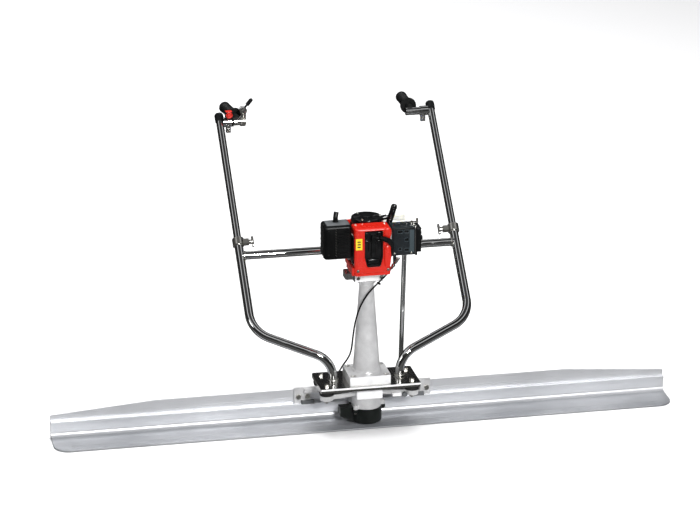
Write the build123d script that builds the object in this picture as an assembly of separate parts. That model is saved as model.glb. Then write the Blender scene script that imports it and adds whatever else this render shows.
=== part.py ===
from build123d import *
import math
import os

# Power screed: a blade, an exciter that shakes it, and an engine on a column with a handle frame.
# Frame: X along the blade, +Y towards the operator, +Z up.  Origin: middle of the sole, under the column.
# Millimetres.

# ---- driving dimensions -------------------------------------------------------------------------
BLADE_LENGTH = 1800.0
FOOT_FRONT = -60.0           # front edge of the foot
FOOT_THICKNESS = 5.0
FIN_FRONT = 59.0
FIN_BACK = 63.0
BLADE_HEIGHT = 90.0
LEDGE_FRONT = 46.5
LEDGE_HEIGHT = 50.0
FIN_END_HEIGHT = 67.0        # the fin slopes down to this at both ends
FIN_SLOPE_LENGTH = 300.0
FOOT_CORNER = 45.0

CUP_RADIUS = 44.0
CUP_BOTTOM = 7.0
CUP_TOP = 52.0
HOUSING_RADIUS = 42.0
BLOCK_BOTTOM = 87.0
HOUSING_TOP = 108.0
CAVITY_RADIUS = 38.5
ECCENTRIC_SHAFT_RADIUS = 7.5

PLATE_HALF_X = 145.0
PLATE_HALF_Y = 70.0
PLATE_BOTTOM = 122.0
PLATE_TOP = 134.0
DAMPER_X = 124.0
DAMPER_Y = 43.0
DAMPER_RADIUS = 20.0
LUG_RADIUS = 18.0
LUG_BOTTOM = 93.0

FLANGE_TOP = 160.0
FLANGE_HALF_X = 60.0
FLANGE_FRONT = -58.0
FLANGE_BACK = 50.0
CONE_BASE_RADIUS = 39.0
NECK_RADIUS = 20.0
NECK_Z = 420.0
COLUMN_TOP = 440.0
CLUTCH_TOP = 462.0
CLUTCH_HALF = 43.5
DRIVE_SHAFT_RADIUS = 5.0

CYLINDER_Z = 560.0           # height of the cylinder's axis, which points to -Y
CRANK_SHAFT_RADIUS = 6.0
CRANK_THROW = 14.0
ROD_LENGTH = 40.0
BORE_RADIUS = 17.0
CASE_BOTTOM = 530.0
CASE_TOP = 590.0

SHROUD_LEFT = -54.0
SHROUD_RIGHT = 49.0
SHROUD_FRONT = -100.0
SHROUD_BACK = 46.0
SHROUD_BOTTOM = 477.0
SHROUD_TOP = 615.0
ROOF_TOP = 598.0              # behind its front ridge the shroud's roof is this low
RIDGE_BACK = -48.0
SHROUD_WALL = 2.5
RECOIL_RADIUS = 43.5
RECOIL_TOP = 620.0

MUFFLER_X = (-137.0, -57.5)
MUFFLER_Y = (-82.0, -18.0)
MUFFLER_Z = (523.0, 622.0)
CLEANER_X = (58.0, 124.0)
CLEANER_Y = (-76.0, -22.0)
CLEANER_Z = (521.0, 605.0)

STUB_X = 97.0                # the handle tubes rise from the plate here
STUB_TOP = 194.0
CORNER = (318.0, 66.0, 273.0)
LEAN = 47.0                  # degrees back from vertical
LOWER_RADIUS = 12.7
LOWER_BORE = 11.1
UPPER_RADIUS = 11.0
UPPER_BORE = 9.0
CROSSBAR_RADIUS = 12.0
CROSSBAR_AT = 246.0          # distances up the upright from the corner
CLAMP_AT = 290.0
LOWER_TUBE_END = 300.0
UPPER_TUBE_START = 150.0
CROSS_TUBE_AT = 692.0
UPRIGHT_END = 720.0
CROSS_TUBE_RADIUS = 11.5
CROSS_TUBE_INNER_X = 241.0
SLEEVE_X = (284.0, 308.0)
GRIP_RADIUS = 15.5
GRIP_LENGTH = 104.0

KICKSTAND_X = 166.0
KICKSTAND_FOOT_Y = 297.0
KICKSTAND_RADIUS = 7.0

THROTTLE_CABLE_RADIUS = 2.5
RUNNING_FIT = 0.05           # radial clearance of a shaft in its bearing

BASE = (Align.CENTER, Align.CENTER, Align.MIN)


# ---- helpers ------------------------------------------------------------------------------------
def post(radius, low, high, x=0.0, y=0.0):
    """Upright round bar between two heights."""
    return Pos(x, y, low) * Cylinder(radius, high - low, align=BASE)


def ring(radius, bore, low, high, x=0.0, y=0.0):
    """Upright tube between two heights."""
    return post(radius, low, high, x, y) - post(bore, low - 1, high + 1, x, y)


def bar(start, end, radius):
    """Round bar from one point to another."""
    run = Vector(*end) - Vector(*start)
    return Plane(origin=start, z_dir=run) * Cylinder(radius, run.length, align=BASE)


def block(x, y, z, corner=0.0):
    """Box from three (low, high) pairs, its upright edges rounded."""
    size = (x[1] - x[0], y[1] - y[0])
    face = RectangleRounded(*size, corner) if corner else Rectangle(*size)
    return Pos((x[0] + x[1]) / 2, (y[0] + y[1]) / 2, z[0]) * extrude(face, z[1] - z[0])


def rounded_case(x, y, z, radius):
    """Box with all its edges rounded."""
    box = block(x, y, z)
    return fillet(box.edges(), radius)


def turned(profile):
    """Solid of revolution about Z from (radius, height) points."""
    outline = Plane.XZ * make_face(Polyline(*profile, close=True))
    return revolve(outline, Axis.Z)


def cone(bottom_radius, top_radius, low, high):
    """Upright cone between two heights."""
    return Pos(0, 0, low) * Cone(bottom_radius, top_radius, high - low, align=BASE)


def swept(path, radius):
    """Round bar along a path."""
    section = Plane(origin=path @ 0, z_dir=path % 0) * Circle(radius)
    return sweep(section, path=path)


def hexagon_bar(across, low, high, x=0.0, y=0.0):
    """Upright hexagonal bar; across is the distance between its flats."""
    face = RegularPolygon(across / 2, 6, major_radius=False)
    return Pos(x, y, low) * extrude(face, high - low)


def bolt(x, y, seat, end, shank=4.0, across=13.0, head=5.5):
    """Hexagon-headed bolt with its head above seat and its thread running down to end."""
    return hexagon_bar(across, seat, seat + head, x, y) + post(shank, end, seat, x, y)


def cord_corners(points):
    """Bend radius at each corner of a cord's route: as large as the two runs allow."""
    radii = []
    for before, here, after in zip(points, points[1:], points[2:]):
        run_in = Vector(*here) - Vector(*before)
        run_out = Vector(*after) - Vector(*here)
        half_turn = math.radians(run_in.get_angle(run_out)) / 2
        radii.append(0.45 * min(run_in.length, run_out.length) / math.tan(half_turn))
    return radii


def cord(name, points, radius):
    """Cord of straight runs and tangent arcs; prints its bends and compares its volume."""
    radii = cord_corners(points)
    path = FilletPolyline(*points, radius=radii)
    solid = swept(path, radius)
    expected = math.pi * radius ** 2 * path.length
    print(f"{name}: length {path.length:.1f}, tightest bend {min(radii):.1f}, "
          f"volume {solid.volume / expected:.4f} of section times length")
    return solid


def mirrored(shape):
    """The shape's mirror image on the other side of the YZ plane."""
    return mirror(shape, about=Plane.YZ)


def both(shape):
    """The shape and its mirror image, kept as separate solids."""
    return Compound(children=[*shape.solids(), *mirrored(shape).solids()])


def group(*shapes):
    """Several separate solids in one node."""
    return Compound(children=[solid for shape in shapes for solid in shape.solids()])


def upright(distance, x=CORNER[0]):
    """Point on the right upright's centre line, this far up from the corner."""
    lean = math.radians(LEAN)
    return (x, CORNER[1] + distance * math.sin(lean), CORNER[2] + distance * math.cos(lean))


# ---- blade --------------------------------------------------------------------------------------
def blade():
    foot_top = FOOT_THICKNESS
    section = make_face(
        Polyline((FOOT_FRONT + 2, 0), (FIN_BACK, 0), (FIN_BACK, BLADE_HEIGHT), (FIN_FRONT, BLADE_HEIGHT),
                 (FIN_FRONT, LEDGE_HEIGHT), (LEDGE_FRONT, LEDGE_HEIGHT), (LEDGE_FRONT, LEDGE_HEIGHT - 4))
        + ThreePointArc((LEDGE_FRONT, LEDGE_HEIGHT - 4), (LEDGE_FRONT + 3, 32), (LEDGE_FRONT + 3, 20))
        + ThreePointArc((LEDGE_FRONT + 3, 20), (LEDGE_FRONT - 1.5, 9.5), (LEDGE_FRONT - 12, foot_top))
        + Polyline((LEDGE_FRONT - 12, foot_top), (FOOT_FRONT + 2, foot_top))
        + ThreePointArc((FOOT_FRONT + 2, foot_top), (FOOT_FRONT, foot_top / 2), (FOOT_FRONT + 2, 0))
    )
    hollow = Pos((LEDGE_FRONT + 7 + FIN_FRONT) / 2, 26) * Rectangle(FIN_FRONT - LEDGE_FRONT - 7, 40)
    half = BLADE_LENGTH / 2
    body = Plane.YZ * (section - hollow)
    body = Pos(-half, 0, 0) * extrude(body, BLADE_LENGTH, dir=(1, 0, 0))
    plan = Pos(0, (FOOT_FRONT + FIN_BACK) / 2) * Rectangle(BLADE_LENGTH, FIN_BACK - FOOT_FRONT)
    front_corners = plan.vertices().sort_by(Axis.Y)[:2]
    plan = fillet(front_corners, FOOT_CORNER)
    body = body & extrude(plan, BLADE_HEIGHT + 1)
    slope = Polyline((half - FIN_SLOPE_LENGTH, BLADE_HEIGHT), (half + 1, FIN_END_HEIGHT),
                     (half + 1, BLADE_HEIGHT + 2), (half - FIN_SLOPE_LENGTH, BLADE_HEIGHT + 2), close=True)
    wedge = extrude(Plane.XZ * make_face(slope), FIN_BACK + 20, dir=(0, 1, 0))
    body = body - wedge - mirrored(wedge)
    for x in clamp_bolt_places():
        body -= bar((x, FIN_FRONT - 5, CLAMP_BOLT_Z), (x, FIN_BACK + 5, CLAMP_BOLT_Z), CLAMP_HOLE)
    return body


CLAMP_X = (150.0, 200.0)
CLAMP_BOLT_X = (162.0, 188.0)
CLAMP_BOLT_Z = 72.0
CLAMP_HOLE = 4.2


def clamp_bolt_places():
    return [side * x for side in (-1, 1) for x in CLAMP_BOLT_X]


def blade_clamps():
    """Dark bars that sit on the blade's ledge, and back plates behind the fin."""
    bar_z = (LEDGE_HEIGHT + 0.3, LEDGE_HEIGHT + 11)
    ledge_bar = block((142, 180), (LEDGE_FRONT - 5, FIN_FRONT - 9), bar_z, 2)
    back = block(CLAMP_X, (FIN_BACK, FIN_BACK + 7), (54, 88), 1)
    for x in CLAMP_BOLT_X:
        back -= bar((x, 50, CLAMP_BOLT_Z), (x, 80, CLAMP_BOLT_Z), CLAMP_HOLE)
    return both(ledge_bar), both(back)


# ---- exciter ------------------------------------------------------------------------------------
EAR_ANGLES = (0, 140, 220)
EAR_REACH = 49.0             # distance of the ears' screws from the shaft
EAR_RADIUS = 6.5


def at_angle(shape, degrees):
    return Rot(0, 0, degrees) * shape


def screw_ears(low, high):
    """Ears round the housing for the cup's screws, as one shape."""
    ear = post(EAR_RADIUS, low, high, EAR_REACH)
    ear += block((38, EAR_REACH), (-EAR_RADIUS, EAR_RADIUS), (low, high))
    return [at_angle(ear, angle) for angle in EAR_ANGLES]


def screw_holes(low, high):
    return [at_angle(post(2.5, low, high, EAR_REACH), angle) for angle in EAR_ANGLES]


def exciter_housing():
    """Carrier casting: block, round shell, damper lugs, arms, and pads that hold the blade's fin."""
    body = block((-38, 38), (-49, 44), (BLOCK_BOTTOM, HOUSING_TOP + 6), 6)
    body += post(HOUSING_RADIUS, CUP_TOP, BLOCK_BOTTOM + 4)
    for x in (-DAMPER_X, DAMPER_X):
        for y in (-DAMPER_Y, DAMPER_Y):
            body += post(LUG_RADIUS, LUG_BOTTOM, HOUSING_TOP, x, y)
            arm = Plane(origin=(x * 0.62, y * 0.72, LUG_BOTTOM + 1))
            turn = math.degrees(math.atan2(y * 0.62, x * 0.9))
            body += arm * Rot(0, 0, turn) * Box(112, 20, 13, align=BASE)
        side = 1 if x > 0 else -1
        pad_x = sorted((side * CLAMP_X[0], side * CLAMP_X[1]))
        body += block(pad_x, (FIN_FRONT - 9, FIN_FRONT), (LEDGE_HEIGHT + 0.3, 97), 1)
        arm_x = sorted((side * 133, side * 172))
        body += block(arm_x, (36, FIN_FRONT), (LUG_BOTTOM - 7, 97), 3)
    for ear in screw_ears(CUP_TOP, CUP_TOP + 12):
        body += ear
    body -= post(CAVITY_RADIUS, CUP_TOP - 1, 84)
    body -= post(17.5, 97, 115)
    body -= post(11, 80, 98)
    for hole in screw_holes(CUP_TOP - 1, CUP_TOP + 13):
        body -= hole
    for x in (-DAMPER_X, DAMPER_X):
        for y in (-DAMPER_Y, DAMPER_Y):
            body -= post(4.4, LUG_BOTTOM - 1, HOUSING_TOP + 1, x, y)
    for x in clamp_bolt_places():
        body -= bar((x, 40, CLAMP_BOLT_Z), (x, 80, CLAMP_BOLT_Z), CLAMP_HOLE)
    return body


GUARD_REACH = -79.0          # outer end of the cup's splash guard


def exciter_cup():
    """Deep cover under the housing, with a bearing boss, three screw ears and a splash guard on its left."""
    body = post(CUP_RADIUS, CUP_BOTTOM, CUP_TOP)
    body = fillet(body.edges().sort_by(Axis.Z)[0], 6)
    guard = Polyline((-38, CUP_TOP), (GUARD_REACH, CUP_TOP), (GUARD_REACH, 28), (-41, CUP_BOTTOM + 2),
                     (-38, CUP_BOTTOM + 2), close=True)
    body += Pos(0, 17, 0) * extrude(Plane.XZ * make_face(guard), 34, dir=(0, -1, 0))
    for ear in screw_ears(CUP_TOP - 10, CUP_TOP):
        body += ear
    body -= post(CAVITY_RADIUS, CUP_BOTTOM + 5, CUP_TOP + 1)
    body += ring(22, 17.5, CUP_BOTTOM + 5, CUP_BOTTOM + 18)
    for hole in screw_holes(CUP_TOP - 11, CUP_TOP + 1):
        body -= hole
    return body


def eccentric_shaft():
    radius = ECCENTRIC_SHAFT_RADIUS - RUNNING_FIT
    return post(radius, CUP_BOTTOM + 6, 150) + post(9.5, 26, 97) - post(1.5, 140, 151)


def eccentric_weight():
    half_disc = post(34, 54, 80) - block((-40, 40), (-40, -6), (50, 90))
    return half_disc + post(14, 54, 80) - post(9.5, 50, 90)


def ball_bearing(bore, outer, low, width):
    """Inner and outer race, joined by a shield that stands back from both faces."""
    race = (outer - bore) * 0.28
    shield = ring(outer - race + 0.5, bore + race - 0.5, low + 1, low + width - 1)
    return ring(outer, outer - race, low, low + width) + ring(bore + race, bore, low, low + width) + shield


def ball_bearings():
    sizes = (
        (7.5, 17.5, CUP_BOTTOM + 6, 11), (7.5, 17.5, 99, 11),
        (5.0, 13.0, 380, 8), (5.0, 13.0, 404, 8),
        (6.0, 16.0, 531, 10), (6.0, 16.0, 579, 10),
    )
    return group(*[ball_bearing(*size) for size in sizes])


# ---- plate and dampers --------------------------------------------------------------------------
def damper_places():
    return [(x, y) for x in (-DAMPER_X, DAMPER_X) for y in (-DAMPER_Y, DAMPER_Y)]


FLANGE_BOLTS = [(-48, -46), (48, -46), (-48, 38), (48, 38)]


def rubber_dampers():
    dampers = []
    for x, y in damper_places():
        body = ring(DAMPER_RADIUS, 4.4, HOUSING_TOP, PLATE_BOTTOM, x, y)
        groove = Pos(x, y, (HOUSING_TOP + PLATE_BOTTOM) / 2) * Torus(DAMPER_RADIUS + 1.5, 3.2)
        dampers.append(body - groove)
    return group(*dampers)


def base_plate():
    body = block((-PLATE_HALF_X, PLATE_HALF_X), (-PLATE_HALF_Y, PLATE_HALF_Y), (PLATE_BOTTOM, PLATE_TOP), 5)
    body = chamfer(body.faces().sort_by(Axis.Z)[-1].edges(), 1.2)
    body -= post(24, PLATE_BOTTOM - 1, PLATE_TOP + 1)
    for x in (-STUB_X, STUB_X):
        body -= post(LOWER_RADIUS, PLATE_BOTTOM - 1, PLATE_TOP + 1, x)
    for x, y in damper_places():
        body -= post(4.4, PLATE_BOTTOM - 1, PLATE_TOP + 1, x, y)
    for x, y in FLANGE_BOLTS:
        body -= post(4.4, PLATE_BOTTOM - 1, PLATE_TOP + 1, x, y)
    return body


def frame_bolts():
    """Damper bolts with nuts, column bolts, cup screws and blade clamp bolts."""
    bolts = []
    for x, y in damper_places():
        nut = hexagon_bar(13, LUG_BOTTOM - 7, LUG_BOTTOM, x, y)
        bolts.append(bolt(x, y, PLATE_TOP, LUG_BOTTOM - 10) + nut)
    for x, y in FLANGE_BOLTS:
        nut = hexagon_bar(13, PLATE_BOTTOM - 6, PLATE_BOTTOM, x, y)
        bolts.append(bolt(x, y, FLANGE_TOP - 8, PLATE_BOTTOM - 6) + nut)
    for angle in EAR_ANGLES:
        screw = post(4.2, CUP_TOP - 14, CUP_TOP - 10, EAR_REACH)
        screw += post(2.3, CUP_TOP - 10, CUP_TOP + 11, EAR_REACH)
        bolts.append(at_angle(screw, angle))
    hexagon = extrude(RegularPolygon(6.5, 6, major_radius=False), 6)
    for x in clamp_bolt_places():
        shank = bar((x, FIN_FRONT - 12, CLAMP_BOLT_Z), (x, FIN_BACK + 16, CLAMP_BOLT_Z), 4)
        head = Plane(origin=(x, FIN_FRONT - 9, CLAMP_BOLT_Z), z_dir=(0, -1, 0)) * hexagon
        nut = Plane(origin=(x, FIN_BACK + 7, CLAMP_BOLT_Z), z_dir=(0, 1, 0)) * hexagon
        bolts.append(shank + head + nut)
    return group(*bolts)


# ---- column -------------------------------------------------------------------------------------
def drive_column():
    """Cast column: bolting flange, tapered tube, and a flare that carries the clutch housing."""
    body = block((-FLANGE_HALF_X, FLANGE_HALF_X), (FLANGE_FRONT, FLANGE_BACK), (PLATE_TOP, FLANGE_TOP), 8)
    body += cone(CONE_BASE_RADIUS, NECK_RADIUS, FLANGE_TOP - 1, NECK_Z)
    body += ring(CONE_BASE_RADIUS + 1.5, 20, FLANGE_TOP - 1, FLANGE_TOP + 6)
    body += cone(NECK_RADIUS, CLUTCH_HALF - 3, NECK_Z - 1, COLUMN_TOP)
    hollow = [(0, PLATE_TOP - 1), (30, PLATE_TOP - 1), (30, 190), (13, 374), (13, 414),
              (9, 414), (9, 424), (34, COLUMN_TOP - 2), (34, COLUMN_TOP + 1), (0, COLUMN_TOP + 1)]
    body -= turned(hollow)
    for x, y in FLANGE_BOLTS:
        body -= post(4.4, PLATE_TOP - 1, FLANGE_TOP + 1, x, y)
        body -= post(9, FLANGE_TOP - 8, FLANGE_TOP + 8, x, y)
    return body


def clutch_housing():
    """Machined band between the column and the engine."""
    band = block((-CLUTCH_HALF, CLUTCH_HALF), (-45, 42), (COLUMN_TOP, CLUTCH_TOP), 9)
    ear = block((-66, -40), (-30, 14), (COLUMN_TOP + 4, CLUTCH_TOP), 6)
    return band + ear - post(34, COLUMN_TOP - 1, CLUTCH_TOP + 1)


def drive_shaft():
    return post(DRIVE_SHAFT_RADIUS - RUNNING_FIT, 172, 438)


def coupling_hubs():
    """Two jaw hubs, each with three teeth that reach towards the other."""
    hubs = []
    for low, high, shaft, tooth_low, first in ((138, 152, 7.45, 152, 0), (170, 184, 4.95, 158, 60)):
        hub = ring(20, shaft, low, high)
        for index in range(3):
            tooth = block((9.5, 19), (-2.8, 2.8), (tooth_low, tooth_low + 12), 1)
            hub += at_angle(tooth, first + index * 120)
        hubs.append(hub)
    return group(*hubs)


def coupling_spider():
    """Rubber star between the jaws."""
    star = post(7, 153, 169)
    for index in range(6):
        star += at_angle(block((0, 19), (-1.6, 1.6), (153, 169), 1), 30 + index * 60)
    return star


def clutch_drum():
    drum = ring(30, 27, 442, 460) + post(30, 440, 443) + post(9, 430, 443)
    return drum - post(DRIVE_SHAFT_RADIUS - RUNNING_FIT, 425, 438)


def clutch_shoes():
    """Two curved shoes either side of the arbor, with a spring hook lug on each."""
    disc = ring(26, 14, 447, 458)
    slot = block((-3, 3), (-30, 30), (440, 465))
    shoes = disc - slot
    arms = block((-14.5, 14.5), (-5, 5), (449, 456), 2) - post(CRANK_SHAFT_RADIUS - RUNNING_FIT, 440, 465)
    return group(shoes, arms)


# ---- engine -------------------------------------------------------------------------------------
def crankcase():
    """Split case round the crank, and the fan-side casting that stands on the clutch housing."""
    body = block((-33, 33), (-37, 34), (CASE_BOTTOM, CASE_TOP), 6)
    body += block((-58, -30), (-26, 22), (500, 527), 5)
    body += block((30, 45), (-16, 20), (500, 527), 5)
    stand = ring(46, 43.5, CLUTCH_TOP, 500) + ring(46, 8, 500, 527) + ring(32, 8, 526, CASE_BOTTOM + 1)
    for index in range(8):
        window = block((41, 50), (-8, 8), (468, 492), 1)
        stand -= at_angle(window, 22.5 + index * 45)
    body += stand
    body -= post(27, 543, 577)
    body -= post(16, 530.5, 543.5)
    body -= post(16, 576.5, 591)
    body -= post(8, 495, 533)
    body -= bar((0, -10, CYLINDER_Z), (0, -40, CYLINDER_Z), BORE_RADIUS + 0.5)
    return body


def crankshaft():
    """Two webs on their journals; the pin between them belongs to the connecting rod."""
    radius = CRANK_SHAFT_RADIUS - RUNNING_FIT
    lower = post(radius, 446, 552) + web(545.5, 551.5)
    upper = post(radius, 568, 597) + web(568.5, 574.5)
    return group(lower, upper)


def web(low, high):
    disc = post(20.5, low, high)
    relief = block((11, 30), (2, 30), (low - 1, high + 1)) + block((-30, -11), (2, 30), (low - 1, high + 1))
    return disc - relief


def connecting_rod():
    """Rod with its crank pin, at the bottom of the stroke."""
    big_end = post(9, 554, 566, 0, CRANK_THROW)
    wrist = CRANK_THROW - ROD_LENGTH
    small_end = ring(7, 4.0, 555.5, 564.5, 0, wrist)
    shank = block((-3.5, 3.5), (wrist + 5, CRANK_THROW - 6), (557, 563))
    return big_end + small_end + shank


def piston():
    """Hollow piston with its wrist pin."""
    wrist = CRANK_THROW - ROD_LENGTH
    radius = BORE_RADIUS - RUNNING_FIT
    crown = wrist - 14
    body = bar((0, crown, CYLINDER_Z), (0, wrist + 4.8, CYLINDER_Z), radius)
    body -= bar((0, crown + 4, CYLINDER_Z), (0, wrist + 9, CYLINDER_Z), radius - 2.5)
    for groove in (crown + 2.2, crown + 5.6):
        outer = bar((0, groove, CYLINDER_Z), (0, groove + 1.4, CYLINDER_Z), radius + 1)
        body -= outer - bar((0, groove - 1, CYLINDER_Z), (0, groove + 3, CYLINDER_Z), radius - 0.8)
    return body + post(4.0, CYLINDER_Z - 15, CYLINDER_Z + 15, 0, wrist)


CYLINDER_FRONT = -74.0


def cylinder():
    """Finned barrel with its head, exhaust flange on the left and intake flange on the right."""
    start = -37.0
    body = bar((0, start, CYLINDER_Z), (0, CYLINDER_FRONT, CYLINDER_Z), BORE_RADIUS + 4)
    for index in range(7):
        y = start - 2 - index * 5.5
        body += block((-31, 31), (y - 2, y), (CYLINDER_Z - 31, CYLINDER_Z + 31), 0)
    body += bar((-56, -54, CYLINDER_Z), (0, -54, CYLINDER_Z), 11)
    body += bar((0, -54, CYLINDER_Z), (38, -54, CYLINDER_Z), 11)
    body -= bar((0, start + 1, CYLINDER_Z), (0, CYLINDER_FRONT + 4.5, CYLINDER_Z), BORE_RADIUS)
    body -= bar((-60, -54, CYLINDER_Z), (-10, -54, CYLINDER_Z), 7.5)
    body -= bar((10, -54, CYLINDER_Z), (40, -54, CYLINDER_Z), 7.5)
    return body - bar((0, -60, CYLINDER_Z), (0, -80, CYLINDER_Z), 5)


def spark_plug():
    y = CYLINDER_FRONT
    plug = bar((0, y + 5, CYLINDER_Z), (0, y, CYLINDER_Z), 5)
    hexagon = extrude(RegularPolygon(7, 6, major_radius=False), 5)
    plug += Plane(origin=(0, y, CYLINDER_Z), z_dir=(0, -1, 0)) * hexagon
    return plug + bar((0, y - 5, CYLINDER_Z), (0, y - 9, CYLINDER_Z), 4)


RECESS_HALF = 27.0
RECESS_Z = (501.0, 610.0)


def recess_outline(inset):
    """U-shaped opening in the shroud's front: square shoulders above, rounded below."""
    half = RECESS_HALF - inset
    low = RECESS_Z[0] + inset
    high = RECESS_Z[1] - inset
    foot = half * 0.72
    outline = Polyline((-half, high), (half, high), (half, low + 30), (foot, low), (-foot, low),
                       (-half, low + 30), close=True)
    face = fillet(make_face(outline).vertices(), 7)
    return Plane.XZ * face


def plug_cover():
    """Black inner panel seen in the shroud's opening, with an upright boot over the spark plug."""
    panel = Pos(0, -91, 0) * extrude(recess_outline(0.8), 2, dir=(0, 1, 0))
    rim = Pos(0, -98, 0) * extrude(recess_outline(0.8), 8, dir=(0, 1, 0))
    rim -= Pos(0, -99, 0) * extrude(recess_outline(3.2), 12, dir=(0, 1, 0))
    boot = block((-7, 7), (-99, -83.2), (532, 596), 3)
    boot += block((-15, 15), (-95, -83.5), (548, 572), 3)
    return panel + rim + boot - bar((0, -84.5, CYLINDER_Z), (0, -80, CYLINDER_Z), 4.2)


def above_roof(front, height):
    """Space over the low part of the shroud's roof."""
    return block((SHROUD_LEFT - 5, SHROUD_RIGHT + 5), (front, SHROUD_BACK + 10), (height, SHROUD_TOP + 5))


def engine_shroud():
    """Red cowl over the cylinder, open below, behind, and at both sides for the muffler and intake."""
    x = (SHROUD_LEFT, SHROUD_RIGHT)
    y = (SHROUD_FRONT, SHROUD_BACK)
    wall = SHROUD_WALL
    outer = block(x, y, (SHROUD_BOTTOM, SHROUD_TOP), 10)
    outer = fillet(outer.faces().sort_by(Axis.Z)[-1].edges(), 6)
    outer -= above_roof(RIDGE_BACK, ROOF_TOP)
    inside = (x[0] + wall, x[1] - wall), (y[0] + wall, y[1] + 5), (SHROUD_BOTTOM - 5, SHROUD_TOP - wall)
    body = outer - (block(*inside, 7) - above_roof(RIDGE_BACK - wall, ROOF_TOP - wall))
    body -= Pos(0, SHROUD_FRONT - 5, 0) * extrude(recess_outline(0), 12, dir=(0, 1, 0))
    body -= block((SHROUD_LEFT - 5, -40), (-84, 60), (500, 590))
    body -= block((40, SHROUD_RIGHT + 5), (-78, 60), (500, 590))
    body -= post(36, ROOF_TOP - 10, ROOF_TOP + 5)
    skirt = block((-60, SHROUD_LEFT + wall), (-92, -10), (SHROUD_BOTTOM, 499), 2)
    return body + skirt - block((-57.5, -50), (-89.5, -5), (SHROUD_BOTTOM - 1, 496))


def flywheel_fan():
    """Flywheel disc with curved fan blades on its upper face."""
    body = post(41, 466, 472) + post(12, 464, 488)
    for index in range(12):
        body += at_angle(block((14, 40), (-1.2, 1.2), (471, 486)), index * 30)
    return body - post(CRANK_SHAFT_RADIUS - RUNNING_FIT, 460, 495)


def ignition_coil():
    """Coil pack on the crankcase's right, beside the fan."""
    return block((50, 64), (-14, 12), (490, 514), 3) + block((46, 51), (-9, 7), (502, 511))


ROPE_ENTRY = (30.0, -6.0, 611.0)     # the rope leaves the starter along this line
ROPE_EXIT = (56.0, -6.0, 615.0)


def on_rope(x):
    """Point of the rope's line at this X."""
    share = (x - ROPE_ENTRY[0]) / (ROPE_EXIT[0] - ROPE_ENTRY[0])
    return (x, ROPE_ENTRY[1], ROPE_ENTRY[2] + share * (ROPE_EXIT[2] - ROPE_ENTRY[2]))


def recoil_housing():
    """Starter cap with a bearing post for the pulley and a rope guide on its right."""
    cap = post(RECOIL_RADIUS, ROOF_TOP, RECOIL_TOP)
    cap = fillet(cap.edges().sort_by(Axis.Z)[-1], 4)
    cap += bar(ROPE_ENTRY, ROPE_EXIT, 7.5)
    cap -= post(RECOIL_RADIUS - 2.5, ROOF_TOP - 1, RECOIL_TOP - 3)
    cap -= bar(on_rope(28), on_rope(60), 3.4)
    cap += post(6, PULLEY_Z[0] - 1, RECOIL_TOP - 2)
    return cap


PULLEY_Z = (602.0, 616.0)


def recoil_pulley():
    pulley = ring(30, 6 + RUNNING_FIT, *PULLEY_Z)
    groove = Pos(0, 0, sum(PULLEY_Z) / 2) * Torus(31, 3.5)
    return pulley - groove


def starter_handle():
    """T-shaped pull, leaning beside the starter, with the start of its rope."""
    low, high = (63, -6, 597), (78, -6, 645)
    grip = bar(low, high, 7.2)
    for end in (low, high):
        grip += Pos(*end) * Sphere(7.2)
    return grip + bar(on_rope(57), on_rope(70), 4) + bar(on_rope(50), on_rope(58), 2.4)


def muffler():
    """Louvred silencer box with its gas outlet stub on top."""
    wall = 2.5
    body = rounded_case(MUFFLER_X, MUFFLER_Y, MUFFLER_Z, 9)
    inside = [(low + wall, high - wall) for low, high in (MUFFLER_X, MUFFLER_Y, MUFFLER_Z)]
    body -= rounded_case(*inside, 6.5)
    for index in range(11):
        z = MUFFLER_Z[0] + 11 + index * 7.6
        body -= block((-104, -64), (MUFFLER_Y[0] - 1, MUFFLER_Y[0] + 1.2), (z, z + 3.2))
    foot, bend = (-98, -44, MUFFLER_Z[1] - 4), (-98, -44, MUFFLER_Z[1] + 13)
    path = FilletPolyline(foot, bend, (-94, -38, 650), radius=14)
    outlet = swept(path, 7)
    body += outlet
    return body - bar((-96.2, -41.3, 640), (-93.5, -37.3, 653), 5)


def carburettor():
    body = block((38, 58), (-70, -36), (540, 582), 4)
    body += post(6, 522, 541, 49, -44)
    body -= bar((37, -54, CYLINDER_Z), (59, -54, CYLINDER_Z), 7.5)
    return body - post(3, 512, 545, 49, -44)


def throttle_arm():
    """Arm under the carburettor that the cable pulls."""
    spindle = post(3 - RUNNING_FIT, 512, 544, 49, -44)
    arm = block((45, 76), (-48, -40), (512, 515.5), 3)
    return spindle + arm + post(3, 506, 514, 71, -44)


def air_cleaner_case():
    """Grey filter case with oblong intake slots in its front."""
    x, y, z = CLEANER_X, CLEANER_Y, CLEANER_Z
    body = rounded_case((x[0], x[1] + 6), y, z, 6)
    body -= block((x[1], x[1] + 10), (y[0] - 5, y[1] + 5), (z[0] - 5, z[1] + 5))
    body -= block((x[0] + 3, x[1] + 1), (y[0] + 3, y[1] - 3), (z[0] + 3, z[1] - 3))
    for slot_x, slot_z, width in ((80, 592, 15), (98, 592, 12), (99, 568, 12), (99, 538, 12), (80, 541, 8)):
        slot = (slot_x - width / 2, slot_x + width / 2)
        body -= block(slot, (y[0] - 1, y[0] + 4), (slot_z - 4, slot_z + 4))
    body -= bar((x[0] - 1, -54, CYLINDER_Z), (x[0] + 4, -54, CYLINDER_Z), 7.5)
    body -= post(3 + RUNNING_FIT, z[1] - 6, z[1] + 1, *CHOKE_AT)
    stop_x, stop_y, stop_z = CABLE_ROUTE[-1]
    body += block((stop_x - 4, stop_x + 4), (stop_y - 4, stop_y + 4), (stop_z, z[0] + 1), 1)
    return body


def air_filter():
    x, y, z = CLEANER_X, CLEANER_Y, CLEANER_Z
    return block((x[0] + 6, x[1] - 4), (y[0] + 6, y[1] - 6), (z[0] + 6, z[1] - 6), 4)


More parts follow.
